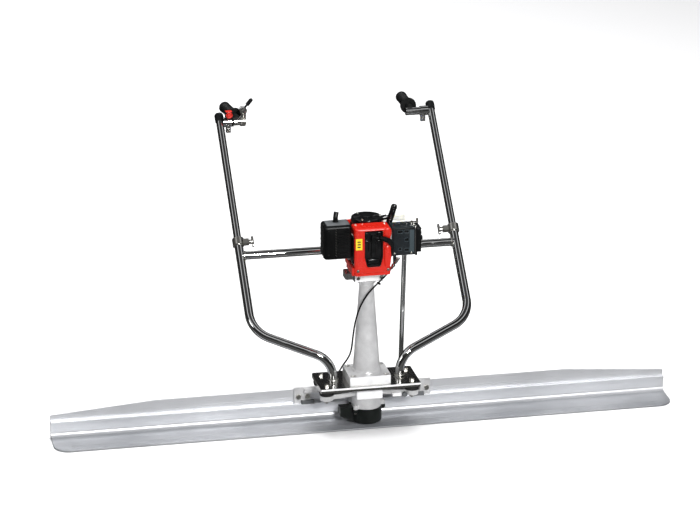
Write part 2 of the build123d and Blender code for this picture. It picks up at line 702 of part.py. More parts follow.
def air_cleaner_cover():
    """Scalloped black end cover with a light strap between it and the case."""
    x, y, z = CLEANER_X, CLEANER_Y, CLEANER_Z
    body = block((x[1], x[1] + 5), (y[0] - 1, y[1] + 1), (z[0] - 1, z[1] - 1))
    body += rounded_case((x[1] + 4, x[1] + 19), (y[0] + 4, y[1] - 2), (z[0] + 6, z[1] - 6), 4)
    for index in range(5):
        middle = z[0] + 13 + index * 14.5
        body -= bar((x[1] + 21, y[0] - 2, middle), (x[1] + 21, y[1] + 2, middle), 4)
    return body


CHOKE_AT = (117.0, -50.0)


def choke_lever():
    """Bright lever on top of the air cleaner, turning on an upright spindle."""
    x, y = CHOKE_AT
    z = CLEANER_Z[1]
    spindle = post(3, z - 5, z + 6, x, y)
    lever = block((x - 5, x + 21), (y - 4, y + 4), (z + 3, z + 6), 3)
    return spindle + lever + post(3.2, z + 3, z + 15, x + 17, y)


TANK_TOP = 588.0
FILLER = (104.0, 54.0)


def fuel_tank():
    """Translucent tank behind the air cleaner, with a filler neck."""
    body = rounded_case((58, 128), (10, 78), (512, TANK_TOP), 12)
    body += post(14, TANK_TOP - 6, TANK_TOP + 7, *FILLER)
    body -= rounded_case((60.5, 125.5), (12.5, 75.5), (514.5, TANK_TOP - 2.5), 9.5)
    body -= post(11, TANK_TOP - 11, TANK_TOP + 9, *FILLER)
    strap = block((33, 60), (14, 30), (536, 556), 2)
    return body + strap


def fuel_cap():
    cap = ring(18, 14.3, TANK_TOP + 1, TANK_TOP + 8, *FILLER)
    cap += post(18, TANK_TOP + 7.5, TANK_TOP + 14, *FILLER)
    for index in range(12):
        cap -= Pos(*FILLER, 0) * at_angle(post(1.8, TANK_TOP, TANK_TOP + 15, 18.8), index * 30)
    return cap


def fuel_hose():
    return cord("fuel_hose", [(52, -35.8, 565), (56, -20, 563), (61, -2, 552), (64, 10.2, 538)], 2.5)


def plug_lead():
    """High-tension lead from the boot to the coil."""
    route = [
        (7, -92, 584), (18, -100, 586), (31, -108.5, 585), (46, -105.5, 577), (53, -94, 562), (54, -86, 543),
        (53, -76, 524), (53.5, -62, 508), (56, -44, 498), (57, -28, 497), (57, -14, 500),
    ]
    return cord("plug_lead", route, 3.5)


# ---- handle frame -------------------------------------------------------------------------------
def handle_path(end):
    points = [(STUB_X, 0, PLATE_BOTTOM), (STUB_X, 0, STUB_TOP), CORNER, upright(end)]
    return FilletPolyline(*points, radius=[70, 85])


def lower_tube_solid(radius):
    return swept(handle_path(LOWER_TUBE_END), radius)


CABLE_ROUTE = [
    (-97, 1, 143), (-84, 16, 143), (-72, 26, 151), (-61.5, 30.5, 166), (-51, 27, 182), (-43, 17, 203),
    (-41, 3, 231), (-40, -9, 272), (-36, -20, 316), (-25, -28, 360), (-5, -36, 400), (22, -48, 434),
    (48, -58, 463), (66, -68, 497),
]


def handle_tubes():
    """Two bent tubes; the left one has the hole where the throttle cable comes out."""
    right = lower_tube_solid(LOWER_RADIUS) - lower_tube_solid(LOWER_BORE)
    collar = ring(LOWER_RADIUS + 3, LOWER_RADIUS, PLATE_TOP, PLATE_TOP + 4, STUB_X)
    right += collar
    left = mirrored(right) - bar(CABLE_ROUTE[0], CABLE_ROUTE[1], THROTTLE_CABLE_RADIUS + 1)
    return group(left, right)


def crossbar():
    start = upright(CROSSBAR_AT, -CORNER[0])
    body = bar(start, upright(CROSSBAR_AT), CROSSBAR_RADIUS)
    body -= bar(start, upright(CROSSBAR_AT), CROSSBAR_RADIUS - 2)
    for x in (-CORNER[0], CORNER[0]):
        body -= bar(upright(CROSSBAR_AT - 40, x), upright(CROSSBAR_AT + 40, x), LOWER_RADIUS)
    return body


def clamp_collars():
    """Split collars at the tops of the lower tubes, with a lug pointing inwards."""
    collar = bar(upright(CLAMP_AT - 11), upright(CLAMP_AT + 11), 17)
    middle = upright(CLAMP_AT)
    lug = Plane(origin=middle, z_dir=upright_direction(), x_dir=(-1, 0, 0)) * Pos(20, 0, 0) * Box(22, 14, 16)
    collar += lug
    collar -= bar(upright(CLAMP_AT - 12), upright(LOWER_TUBE_END), LOWER_RADIUS)
    collar -= bar(upright(LOWER_TUBE_END - 1), upright(CLAMP_AT + 12), UPPER_RADIUS + 0.4)
    collar -= bar(offset(middle, -33), offset(middle, -11), 4.1)
    return both(collar)


def upright_direction():
    lean = math.radians(LEAN)
    return (0, math.sin(lean), math.cos(lean))


def offset(point, x=0.0, y=0.0, z=0.0):
    return (point[0] + x, point[1] + y, point[2] + z)


def wing_bolt():
    """Clamp screw on the right upright, its two wings facing inwards."""
    middle = upright(CLAMP_AT)
    body = bar(offset(middle, -44), offset(middle, -13.2), 4)
    body += bar(offset(middle, -42), offset(middle, -32), 6.5)
    plane = Plane(origin=offset(middle, -40), z_dir=(-1, 0, 0), x_dir=upright_direction())
    wings = extrude(plane * SlotOverall(34, 11), 5)
    return body + wings


def upper_tube():
    """Right telescoping tube with its end cap and the split sleeve that holds the cross tube."""
    body = bar(upright(UPPER_TUBE_START), upright(UPRIGHT_END), UPPER_RADIUS)
    centre = upright(CROSS_TUBE_AT)
    sleeve = bar((SLEEVE_X[0], *centre[1:]), (SLEEVE_X[1], *centre[1:]), 14.5)
    lug_x = (SLEEVE_X[0] + 2, SLEEVE_X[0] + 16)
    lug = block(lug_x, (centre[1] - 7, centre[1] + 7), (centre[2] - 31, centre[2] - 10), 3)
    body += sleeve + lug
    body -= bar(upright(UPPER_TUBE_START - 1), upright(CROSS_TUBE_AT - 20), UPPER_BORE)
    bore = (SLEEVE_X[0] - 1, *centre[1:]), (SLEEVE_X[1] - 1, *centre[1:])
    body -= bar(*bore, CROSS_TUBE_RADIUS + RUNNING_FIT)
    return body


def cross_tube():
    """Right cross tube with the post that carries the grip."""
    centre = upright(CROSS_TUBE_AT)
    body = bar((CROSS_TUBE_INNER_X, *centre[1:]), (SLEEVE_X[1] - 2, *centre[1:]), CROSS_TUBE_RADIUS)
    return body - bar((CROSS_TUBE_INNER_X - 1, *centre[1:]), (SLEEVE_X[1] - 5, *centre[1:]), 9.5)


GRIP_RISE = 11.0
GRIP_START = 22.0


def grip(x, yaw):
    """Rubber grip on its bar, running back from the cross tube, with a flange at its base."""
    centre = upright(CROSS_TUBE_AT)
    tilt = Location((x, centre[1], centre[2] + GRIP_RISE), (0, 0, yaw))
    base = Plane(origin=(0, GRIP_START, 0), z_dir=(0, 1, 0))
    body = base * Cylinder(GRIP_RADIUS, GRIP_LENGTH, align=BASE)
    body = fillet(body.edges().sort_by(Axis.Y)[-1], 7)
    body += base * Cylinder(24, 5, align=BASE)
    stem = Plane(origin=(0, 0, 0), z_dir=(0, 1, 0)) * Cylinder(9, GRIP_START, align=BASE)
    tube = bar((-40, 0, -GRIP_RISE), (40, 0, -GRIP_RISE), CROSS_TUBE_RADIUS)
    placed = tilt * (body + stem)
    return placed - Location((x, centre[1], centre[2] + GRIP_RISE)) * tube


RIGHT_GRIP_X = 254.0
LEFT_GRIP_X = -267.0
LEFT_GRIP_YAW = 8.0
LEVER_PIVOT_X = -249.0


def lever_pivot():
    centre = upright(CROSS_TUBE_AT)
    return (LEVER_PIVOT_X, centre[1] + 4, centre[2] + 33)


def throttle_bracket():
    """Clamp band, lever bracket and stop-switch box on the left cross tube."""
    centre = upright(CROSS_TUBE_AT)
    pivot = lever_pivot()
    body = bar((-257, *centre[1:]), (-243, *centre[1:]), 14.5)
    body += block((-257, -243), (pivot[1] - 12, pivot[1] - 5), (centre[2] + 8, pivot[2] + 4), 2)
    body += bar((pivot[0], pivot[1] - 12, pivot[2]), (pivot[0], pivot[1] - 5, pivot[2]), 9)
    body += bar((pivot[0], pivot[1] - 12, pivot[2]), (pivot[0], pivot[1] + 5, pivot[2]), 3)
    return body - bar((-260, *centre[1:]), (-240, *centre[1:]), CROSS_TUBE_RADIUS)


def throttle_lever():
    """Thumb lever turning about Y, with a ribbed tip."""
    pivot = lever_pivot()
    hub = bar((pivot[0], pivot[1] - 4.4, pivot[2]), (pivot[0], pivot[1] + 4, pivot[2]), 8)
    arm = bar(offset(pivot, 2, 0, 3), offset(pivot, 16, 0, 18), 3)
    tip = bar(offset(pivot, 13, 0, 15), offset(pivot, 25, 0, 29), 5.5)
    tip += Pos(*offset(pivot, 25, 0, 29)) * Sphere(5.5)
    return hub + arm + tip - bar(offset(pivot, 0, -6), offset(pivot, 0, 6), 3 + RUNNING_FIT)


def stop_switch_parts():
    """Black switch body on a band round the left cross tube, and the red button that slides into it."""
    centre = upright(CROSS_TUBE_AT)
    x, y, z = -292.0, centre[1] - 8, centre[2] + 24
    band = bar((-283.5, *centre[1:]), (-278, *centre[1:]), 14)
    body = block((x - 10, x + 10), (y - 6, y + 16), (z - 9, z + 9), 2)
    body += band + block((-283.5, -278), (y - 2, y + 14), (centre[2] + 9, z + 5))
    body -= bar((-290, *centre[1:]), (-270, *centre[1:]), CROSS_TUBE_RADIUS)
    body -= bar((x, y - 20, z), (x, y + 3, z), 6.3)
    button = bar((x, y - 12, z), (x, y - 1, z), 6)
    return body, fillet(button.edges().sort_by(Axis.Y)[0], 1.5)


# ---- kickstand ----------------------------------------------------------------------------------
def kickstand_parts():
    """Leg on a collar that turns round the crossbar, and its rubber foot."""
    top = upright(CROSSBAR_AT, KICKSTAND_X)
    foot = (KICKSTAND_X, KICKSTAND_FOOT_Y, 0)
    leg_end = (KICKSTAND_X, KICKSTAND_FOOT_Y - 2, 16)
    collar = bar(offset(top, -15), offset(top, 15), CROSSBAR_RADIUS + 3.5)
    leg = bar(top, leg_end, KICKSTAND_RADIUS) + collar
    leg -= bar(offset(top, -20), offset(top, 20), CROSSBAR_RADIUS + 0.08)
    shoe = bar(foot, (KICKSTAND_X, KICKSTAND_FOOT_Y - 4.6, 34), KICKSTAND_RADIUS + 3)
    shoe -= bar(leg_end, top, KICKSTAND_RADIUS)
    shoe = shoe & block((0, 400), (200, 400), (0, 100))
    return leg, shoe


# ---- assembly -----------------------------------------------------------------------------------
def build_parts():
    clamp_bars, clamp_backs = blade_clamps()
    kickstand, kickstand_foot = kickstand_parts()
    stop_switch, stop_button = stop_switch_parts()
    upper_right = upper_tube()
    cross_right = cross_tube()
    return {
        "blade": blade(),
        "blade_clamp_bars": clamp_bars,
        "blade_clamp_backs": clamp_backs,
        "exciter_housing": exciter_housing(),
        "exciter_cup": exciter_cup(),
        "eccentric_shaft": eccentric_shaft(),
        "eccentric_weight": eccentric_weight(),
        "ball_bearings": ball_bearings(),
        "rubber_dampers": rubber_dampers(),
        "base_plate": base_plate(),
        "frame_bolts": frame_bolts(),
        "drive_column": drive_column(),
        "clutch_housing": clutch_housing(),
        "drive_shaft": drive_shaft(),
        "coupling_hubs": coupling_hubs(),
        "coupling_spider": coupling_spider(),
        "clutch_drum": clutch_drum(),
        "clutch_shoes": clutch_shoes(),
        "crankcase": crankcase(),
        "crankshaft": crankshaft(),
        "connecting_rod": connecting_rod(),
        "piston": piston(),
        "cylinder": cylinder(),
        "spark_plug": spark_plug(),
        "plug_cover": plug_cover(),
        "plug_lead": plug_lead(),
        "ignition_coil": ignition_coil(),
        "engine_shroud": engine_shroud(),
        "flywheel_fan": flywheel_fan(),
        "recoil_housing": recoil_housing(),
        "recoil_pulley": recoil_pulley(),
        "starter_handle": starter_handle(),
        "muffler": muffler(),
        "carburettor": carburettor(),
        "throttle_arm": throttle_arm(),
        "choke_lever": choke_lever(),
        "air_cleaner_case": air_cleaner_case(),
        "air_filter": air_filter(),
        "air_cleaner_cover": air_cleaner_cover(),
        "fuel_tank": fuel_tank(),
        "fuel_cap": fuel_cap(),
        "fuel_hose": fuel_hose(),
        "handle_tubes": handle_tubes(),
        "crossbar": crossbar(),
        "clamp_collars": clamp_collars(),
        "wing_bolt_left": mirrored(wing_bolt()),
        "wing_bolt_right": wing_bolt(),
        "upper_tube_left": mirrored(upper_right),
        "upper_tube_right": upper_right,
        "cross_tube_left": mirrored(cross_right),
        "cross_tube_right": cross_right,
        "grip_left": grip(LEFT_GRIP_X, LEFT_GRIP_YAW),
        "grip_right": grip(RIGHT_GRIP_X, 0),
        "throttle_bracket": throttle_bracket(),
        "throttle_lever": throttle_lever(),
        "stop_switch": stop_switch,
        "stop_button": stop_button,
        "throttle_cable": cord("throttle_cable", CABLE_ROUTE, THROTTLE_CABLE_RADIUS),
        "kickstand": kickstand,
        "kickstand_foot": kickstand_foot,
    }


def main():
    os.makedirs("parts", exist_ok=True)
    for name, shape in build_parts().items():
        export_step(shape, f"parts/{name}.step")


main()
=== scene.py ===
"""Visual model of a power screed: blade, exciter, engine on a column, and handle frame."""
import logging
import math
from dataclasses import dataclass
from enum import Enum
from typing import Any, Optional, Sequence, Union

import bmesh
import bpy
from mathutils import Matrix, Vector


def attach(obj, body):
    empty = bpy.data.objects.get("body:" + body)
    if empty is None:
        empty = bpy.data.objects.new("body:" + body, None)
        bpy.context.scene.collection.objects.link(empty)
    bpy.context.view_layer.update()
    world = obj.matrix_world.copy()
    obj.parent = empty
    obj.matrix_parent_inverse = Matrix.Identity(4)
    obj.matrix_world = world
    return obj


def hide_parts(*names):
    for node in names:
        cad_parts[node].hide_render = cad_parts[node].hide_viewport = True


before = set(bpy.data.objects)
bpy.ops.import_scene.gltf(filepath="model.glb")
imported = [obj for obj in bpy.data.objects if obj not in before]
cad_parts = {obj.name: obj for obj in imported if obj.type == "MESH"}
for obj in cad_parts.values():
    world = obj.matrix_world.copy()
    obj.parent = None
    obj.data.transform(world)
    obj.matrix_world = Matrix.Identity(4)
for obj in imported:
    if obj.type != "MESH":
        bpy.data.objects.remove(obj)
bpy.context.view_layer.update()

MM = 0.001

log = logging.getLogger("screed")

Pair = tuple[float, float]
Point = tuple[float, float, float]
Colour = tuple[float, float, float]


# ---- shader maths -------------------------------------------------------------------------------
class Value:
    """Number on a node socket; arithmetic on it adds Math nodes to its tree."""

    def __init__(self, tree: "ShaderTree", socket: bpy.types.NodeSocket) -> None:
        """Wrap a socket.

        Args:
            tree: Tree that the socket belongs to.
            socket: Output that gives the number.
        """
        self.tree = tree
        self.socket = socket

    def _math(self, operation: str, first: Any, second: Any) -> "Value":
        """Add one Math node.

        Args:
            operation: Name of the Math node's operation.
            first: Left operand.
            second: Right operand.

        Returns:
            The node's result.
        """
        return self.tree.node("ShaderNodeMath", {"operation": operation}, {0: first, 1: second})

    def __add__(self, other: Any) -> "Value":
        """Sum."""
        return self._math("ADD", self, other)

    __radd__ = __add__

    def __sub__(self, other: Any) -> "Value":
        """Difference."""
        return self._math("SUBTRACT", self, other)

    def __rsub__(self, other: Any) -> "Value":
        """Difference from a number."""
        return self._math("SUBTRACT", other, self)

    def __mul__(self, other: Any) -> "Value":
        """Product."""
        return self._math("MULTIPLY", self, other)

    __rmul__ = __mul__


class ShaderTree:
    """Node tree of one material, with a Principled BSDF at its end."""

    def __init__(self, name: str) -> None:
        """Start an empty material.

        Args:
            name: The material's name.
        """
        self.material = bpy.data.materials.new(name)
        self.material.use_nodes = True
        self.nodes = self.material.node_tree.nodes
        self.links = self.material.node_tree.links
        self.nodes.clear()
        self.shader = self.nodes.new("ShaderNodeBsdfPrincipled")
        output = self.nodes.new("ShaderNodeOutputMaterial")
        self.links.new(self.shader.outputs["BSDF"], output.inputs["Surface"])

    def node(self, kind: str, settings: Optional[dict[str, Any]] = None,
             inputs: Optional[dict[Any, Any]] = None, output: Union[int, str] = 0) -> Value:
        """Add a node: its settings first, then the values or links of its sockets.

        Args:
            kind: Blender's name for the node type.
            settings: Properties of the node.
            inputs: Values, or Value objects to link, by socket name or number.
            output: Which output to return.

        Returns:
            The chosen output.
        """
        made = self.nodes.new(kind)
        for key, setting in (settings or {}).items():
            setattr(made, key, setting)
        for key, given in (inputs or {}).items():
            self.feed(made.inputs[key], given)
        return Value(self, made.outputs[output])

    def feed(self, socket: bpy.types.NodeSocket, given: Any) -> None:
        """Link or set one input.

        Args:
            socket: The input.
            given: A Value to link, or a constant.
        """
        if isinstance(given, Value):
            self.links.new(given.socket, socket)
        elif isinstance(given, tuple) and len(given) == 3 and socket.type == "RGBA":
            socket.default_value = (*given, 1.0)
        else:
            socket.default_value = given

    def place(self, scale: Point = (1.0, 1.0, 1.0)) -> Value:
        """The piece's own coordinates in metres, stretched by scale.

        Args:
            scale: Factor along each axis.

        Returns:
            The scaled position.
        """
        here = self.node("ShaderNodeTexCoord", output="Object")
        return self.node("ShaderNodeMapping", {}, {"Vector": here, "Scale": scale})

    def height(self) -> Value:
        """Height above the ground in metres."""
        here = self.node("ShaderNodeTexCoord", output="Object")
        return self.node("ShaderNodeSeparateXYZ", {}, {0: here}, output="Z")

    def noise(self, scale: float, detail: float = 3.0, stretch: Point = (1.0, 1.0, 1.0)) -> Value:
        """Smooth noise from 0 to 1.

        Args:
            scale: Features per metre.
            detail: Octaves.
            stretch: Factor along each axis; below 1 draws the pattern out.

        Returns:
            The noise.
        """
        inputs = {"Vector": self.place(stretch), "Scale": scale, "Detail": detail}
        return self.node("ShaderNodeTexNoise", {}, inputs)

    def cells(self, scale: float, stretch: Point = (1.0, 1.0, 1.0)) -> Value:
        """Distance to the nearest cell centre.

        Args:
            scale: Cells per metre.
            stretch: Factor along each axis.

        Returns:
            The distance.
        """
        return self.node("ShaderNodeTexVoronoi", {}, {"Vector": self.place(stretch), "Scale": scale})

    def ramp(self, value: Value, low: float, high: float) -> Value:
        """Number that goes from 0 to 1 as value goes from low to high."""
        return self.node("ShaderNodeMapRange", {"clamp": True}, {0: value, 1: low, 2: high})

    def blend(self, factor: Any, first: Any, second: Any) -> Value:
        """Mix two colours.

        Args:
            factor: 0 for the first, 1 for the second.
            first: Colour or link.
            second: Colour or link.

        Returns:
            The mixed colour.
        """
        return self.node("ShaderNodeMix", {"data_type": "RGBA"}, {0: factor, 6: first, 7: second}, output=2)

    def bump(self, height: Value, depth: float, strength: float = 1.0) -> None:
        """Feed a bump made from height to the shader's normal.

        Args:
            height: Pattern from 0 to 1.
            depth: Height of the pattern in metres.
            strength: Share of the bump's effect.
        """
        inputs = {"Height": height, "Distance": depth, "Strength": strength}
        self.surface(Normal=self.node("ShaderNodeBump", {}, inputs))

    def surface(self, **inputs: Any) -> None:
        """Set or link inputs of the Principled BSDF, with _ for each space in a name."""
        for name, given in inputs.items():
            self.feed(self.shader.inputs[name.replace("_", " ")], given)


# ---- finishes -----------------------------------------------------------------------------------
@dataclass(frozen=True)
class Finish:
    """A surface finish that can make its material once and hand it out again.

    Attributes:
        name: The material's name.
        slot: Material slot of the record that it belongs to; not used.
        colour: Main colour, linear.
        roughness: Mean roughness.
    """

    name: str
    slot: str
    colour: Colour
    roughness: float

    def material(self) -> bpy.types.Material:
        """The finish's material, made at first use.

        Returns:
            The material.
        """
        found = bpy.data.materials.get(self.name)
        if found is None:
            tree = ShaderTree(self.name)
            self.shade(tree)
            found = tree.material
        return found

    def shade(self, tree: ShaderTree) -> None:
        """Fill the material's tree; each kind of finish has its own way.

        Args:
            tree: Tree of the material, still empty.
        """
        raise NotImplementedError


@dataclass(frozen=True)
class ExtrudedAluminium(Finish):
    """Mill-finish extrusion: fine lines along X, cement haze, a darker band low down, and scuffs.

    Attributes:
        haze: Colour of the hazy patches.
        foot: Darker colour mixed in patchily over the lowest band, up to about 10 mm.
    """

    haze: Colour = (0.62, 0.63, 0.65)
    foot: Colour = (0.27, 0.28, 0.30)

    def shade(self, tree: ShaderTree) -> None:
        """Lines along the extrusion, a darker and rougher band at the bottom, and a few long scratches.

        Args:
            tree: Tree of the material, still empty.
        """
        lines = tree.noise(420.0, 4.0, (0.015, 1.0, 1.0))
        cloud = tree.noise(7.0, 5.0, (0.5, 1.0, 1.0))
        scratch = tree.ramp(tree.noise(260.0, 2.0, (0.04, 1.0, 1.0)), 0.66, 0.72)
        low = 1.0 - tree.ramp(tree.height(), 0.006, 0.010)
        tone = tree.blend(tree.ramp(cloud, 0.45, 0.85), self.colour, self.haze)
        tone = tree.blend(low * (cloud * 0.7 + 0.45), tone, self.foot)
        tree.surface(Base_Color=tree.blend(scratch * 0.35, tone, (0.45, 0.46, 0.48)),
                     Metallic=0.5 - low * 0.1,
                     Roughness=lines * 0.16 + cloud * 0.14 + low * 0.12 + (self.roughness - 0.14),
                     Anisotropic=0.35)
        tree.bump(lines + scratch * 0.6, 0.00012, 0.35)


@dataclass(frozen=True)
class CastMetal(Finish):
    """Sand-cast or die-cast metal: pebbled grain and cloudy tone.

    Attributes:
        grain: Pebbles per metre.
        depth: Height of the pebbles in metres.
        metallic: Share of bare metal.
    """

    grain: float = 900.0
    depth: float = 0.0002
    metallic: float = 0.6

    def shade(self, tree: ShaderTree) -> None:
        """Pebbled grain with darker hollows.

        Args:
            tree: Tree of the material, still empty.
        """
        pebble = tree.noise(self.grain, 4.0)
        cloud = tree.noise(24.0, 4.0)
        dark = tuple(channel * 0.72 for channel in self.colour)
        tone = tree.blend(tree.ramp(cloud * 0.7 + pebble * 0.3, 0.35, 0.68), dark, self.colour)
        tree.surface(Base_Color=tone, Metallic=self.metallic,
                     Roughness=cloud * 0.2 + pebble * 0.1 + (self.roughness - 0.15))
        tree.bump(pebble + cloud * 0.5, self.depth, 0.5)


@dataclass(frozen=True)
class MachinedMetal(Finish):
    """Milled or turned metal with fine tool marks.

    Attributes:
        marks: Stretch of the marks along each axis; below 1 draws them out.
        metallic: Share of bare metal.
    """

    marks: Point = (1.0, 1.0, 0.05)
    metallic: float = 1.0

    def shade(self, tree: ShaderTree) -> None:
        """Tool marks and a faint stain.

        Args:
            tree: Tree of the material, still empty.
        """
        tool = tree.noise(700.0, 3.0, self.marks)
        stain = tree.noise(30.0, 4.0)
        dull = tuple(channel * 0.8 for channel in self.colour)
        tree.surface(Base_Color=tree.blend(tree.ramp(stain, 0.5, 0.75), self.colour, dull),
                     Metallic=self.metallic,
                     Roughness=tool * 0.15 + stain * 0.1 + (self.roughness - 0.12), Anisotropic=0.3)
        tree.bump(tool, 0.00006, 0.35)


@dataclass(frozen=True)
class Chrome(Finish):
    """Bright plating with a film of dust, finger smears and tiny pits.

    Attributes:
        pits: Strength of the pits.
    """

    pits: float = 0.3

    def shade(self, tree: ShaderTree) -> None:
        """Smears raise the roughness a little; pits show as specks.

        Args:
            tree: Tree of the material, still empty.
        """
        smear = tree.ramp(tree.noise(38.0, 5.0, (1.0, 1.0, 0.4)), 0.45, 0.8)
        speck = 1.0 - tree.ramp(tree.cells(420.0), 0.02, 0.07)
        pitted = speck * tree.ramp(tree.noise(16.0, 3.0), 0.52, 0.7) * self.pits
        tone = tree.blend(pitted, self.colour, (0.16, 0.12, 0.09))
        tree.surface(Base_Color=tone, Metallic=1.0, Roughness=smear * 0.12 + pitted * 0.4 + self.roughness)
        tree.bump(pitted + smear * 0.1, 0.00005, 0.3)


@dataclass(frozen=True)
class CoatedMetal(Finish):
    """Paint, black oxide or enamel over metal, with a light orange peel and rubbed spots.

    Attributes:
        bare: Colour of the metal where the coat is rubbed off.
        wear: Share of the coat that is gone there.
    """

    bare: Colour = (0.35, 0.35, 0.36)
    wear: float = 0.5

    def shade(self, tree: ShaderTree) -> None:
        """Orange peel, soot-like clouding and sparse bare rubs.

        Args:
            tree: Tree of the material, still empty.
        """
        peel = tree.noise(520.0, 2.0)
        cloud = tree.noise(20.0, 5.0)
        rubbed = tree.ramp(tree.noise(130.0, 4.0), 0.70, 0.78) * tree.ramp(cloud, 0.52, 0.66) * self.wear
        light = tuple(min(1.0, channel * 1.6 + 0.004) for channel in self.colour)
        tone = tree.blend(tree.ramp(cloud, 0.4, 0.7), self.colour, light)
        tree.surface(Base_Color=tree.blend(rubbed, tone, self.bare), Metallic=rubbed,
                     Roughness=cloud * 0.2 + peel * 0.08 + (self.roughness - 0.14), Specular_IOR_Level=0.3)
        tree.bump(peel - rubbed * 0.5, 0.00005, 0.35)


@dataclass(frozen=True)
class MouldedPlastic(Finish):
    """Injection-moulded plastic with spark-eroded grain, light dust and scuffs.

    Attributes:
        grain: Grains per metre.
        depth: Height of the grain in metres.
        gloss: Weight of the glossy skin.
        dust: Strength of the dust.
        shine: Strength of the mirrored light.
    """

    grain: float = 1500.0
    depth: float = 0.000025
    gloss: float = 0.0
    dust: float = 0.25
    shine: float = 0.28

    def shade(self, tree: ShaderTree) -> None:
        """Fine grain, dusty patches and faint scuffs.

        Args:
            tree: Tree of the material, still empty.
        """
        grain = tree.noise(self.grain, 2.0)
        cloud = tree.noise(28.0, 5.0)
        scuff = tree.ramp(tree.noise(330.0, 3.0, (1.0, 0.2, 1.0)), 0.68, 0.76) * tree.ramp(cloud, 0.5, 0.62)
        dusty = tree.ramp(cloud, 0.46, 0.78) * self.dust
        pale = tuple(min(1.0, channel * 0.9 + 0.03) for channel in self.colour)
        tone = tree.blend(dusty, self.colour, pale)
        tone = tree.blend(scuff * 0.3, tone, tuple(min(1.0, channel * 1.4 + 0.05) for channel in self.colour))
        rough = cloud * 0.18 + scuff * 0.15 + dusty * 0.15 + (self.roughness - 0.1)
        tree.surface(Base_Color=tone, Roughness=rough, Coat_Weight=self.gloss, Coat_Roughness=0.08,
                     Specular_IOR_Level=self.shine)
        tree.bump(grain + scuff * 0.4, self.depth, 0.4)


@dataclass(frozen=True)
class MouldedRubber(Finish):
    """Matt black rubber with a bloom on it."""

    def shade(self, tree: ShaderTree) -> None:
        """Soft grain and a grey bloom.

        Args:
            tree: Tree of the material, still empty.
        """
        grain = tree.noise(1100.0, 3.0)
        bloom = tree.ramp(tree.noise(34.0, 5.0), 0.42, 0.8)
        pale = tuple(channel + 0.02 for channel in self.colour)
        tree.surface(Base_Color=tree.blend(bloom * 0.6, self.colour, pale),
                     Roughness=bloom * 0.2 + grain * 0.1 + (self.roughness - 0.12), Specular_IOR_Level=0.3)
        tree.bump(grain, 0.00004, 0.45)


@dataclass(frozen=True)
class MilkyPlastic(Finish):
    """Blow-moulded translucent plastic."""

    def shade(self, tree: ShaderTree) -> None:
        """Faint flow clouds, with light scattered below the surface.

        Args:
            tree: Tree of the material, still empty.
        """
        cloud = tree.noise(18.0, 4.0)
        warm = tuple(channel * shade for channel, shade in zip(self.colour, (0.93, 0.91, 0.82)))
        tree.surface(Base_Color=tree.blend(tree.ramp(cloud, 0.4, 0.75), self.colour, warm),
                     Roughness=cloud * 0.15 + (self.roughness - 0.07), Subsurface_Weight=0.6,
                     Subsurface_Radius=(0.01, 0.009, 0.006), Subsurface_Scale=0.6, Coat_Weight=0.15)
        tree.bump(tree.noise(260.0, 3.0), 0.0001, 0.3)


@dataclass(frozen=True)
class OpenFoam(Finish):
    """Open-cell foam."""

    def shade(self, tree: ShaderTree) -> None:
        """Round cells whose dark centres are painted shade in the pores.

        Args:
            tree: Tree of the material, still empty.
        """
        cell = tree.ramp(tree.cells(650.0), 0.1, 0.6)
        # Painted shade: the pores' centres get a darker copy of the foam's colour.
        dark = tuple(channel * 0.35 for channel in self.colour)
        tree.surface(Base_Color=tree.blend(cell, dark, self.colour),
                     Roughness=cell * 0.1 + (self.roughness - 0.05))
        tree.bump(cell, 0.0006, 0.8)


BLADE = ExtrudedAluminium("extruded_aluminium", "blade_aluminium", (0.80, 0.81, 0.835), 0.34)
CAST = CastMetal("sand_cast_aluminium", "cast_aluminium", (0.91, 0.91, 0.915), 0.36, depth=0.00012,
                 metallic=0.42)
ROUGH_CAST = CastMetal("rough_cast_aluminium", "cast_aluminium", (0.46, 0.46, 0.455), 0.55, grain=700.0,
                       depth=0.0003)
MACHINED = MachinedMetal("milled_aluminium", "machined_aluminium", (0.88, 0.88, 0.89), 0.26)
# Painted light: a near-white, barely metallic copy of milled aluminium, put on front faces so that they read
# brightly lit.
PAINTED_LIGHT_FACE = MachinedMetal("painted_light_facing", "machined_aluminium", (0.97, 0.97, 0.98), 0.42, metallic=0.1)
TURNED = MachinedMetal("turned_steel", "steel", (0.56, 0.57, 0.59), 0.26, marks=(0.05, 0.05, 1.0))
ZINC = MachinedMetal("zinc_plate", "zinc_steel", (0.72, 0.71, 0.66), 0.3, marks=(1.0, 1.0, 1.0))
TUBE_CHROME = Chrome("tube_chrome", "chrome_tube", (0.78, 0.785, 0.78), 0.05)
PLATE_CHROME = Chrome("plate_chrome", "chrome_plate", (0.66, 0.65, 0.63), 0.16, pits=0.8)
DARK_STEEL = CoatedMetal("black_oxide", "dark_steel", (0.10, 0.105, 0.11), 0.42, bare=(0.4, 0.4, 0.4),
                         wear=0.7)
ENAMEL = CoatedMetal("black_enamel", "black_metal", (0.002, 0.0022, 0.0024), 0.36, bare=(0.2, 0.2, 0.2),
                     wear=0.3)
CUP_PAINT = CoatedMetal("cup_paint", "black_metal", (0.007, 0.009, 0.008), 0.4, bare=(0.2, 0.2, 0.2),
                        wear=0.4)
BLACK_PLASTIC = MouldedPlastic("moulded_black", "black_plastic", (0.004, 0.0045, 0.005), 0.38)
GLOSS_BLACK = MouldedPlastic("gloss_black_plastic", "black_plastic", (0.004, 0.0045, 0.005), 0.18,
                             grain=1800.0, depth=0.00001, gloss=0.35, dust=0.1, shine=0.4)
GREY_PLASTIC = MouldedPlastic("moulded_grey", "grey_plastic", (0.013, 0.017, 0.020), 0.3, depth=0.000015,
                              gloss=0.1)
PANEL_GREY = MouldedPlastic("panel_grey", "grey_plastic", (0.045, 0.063, 0.072), 0.3)
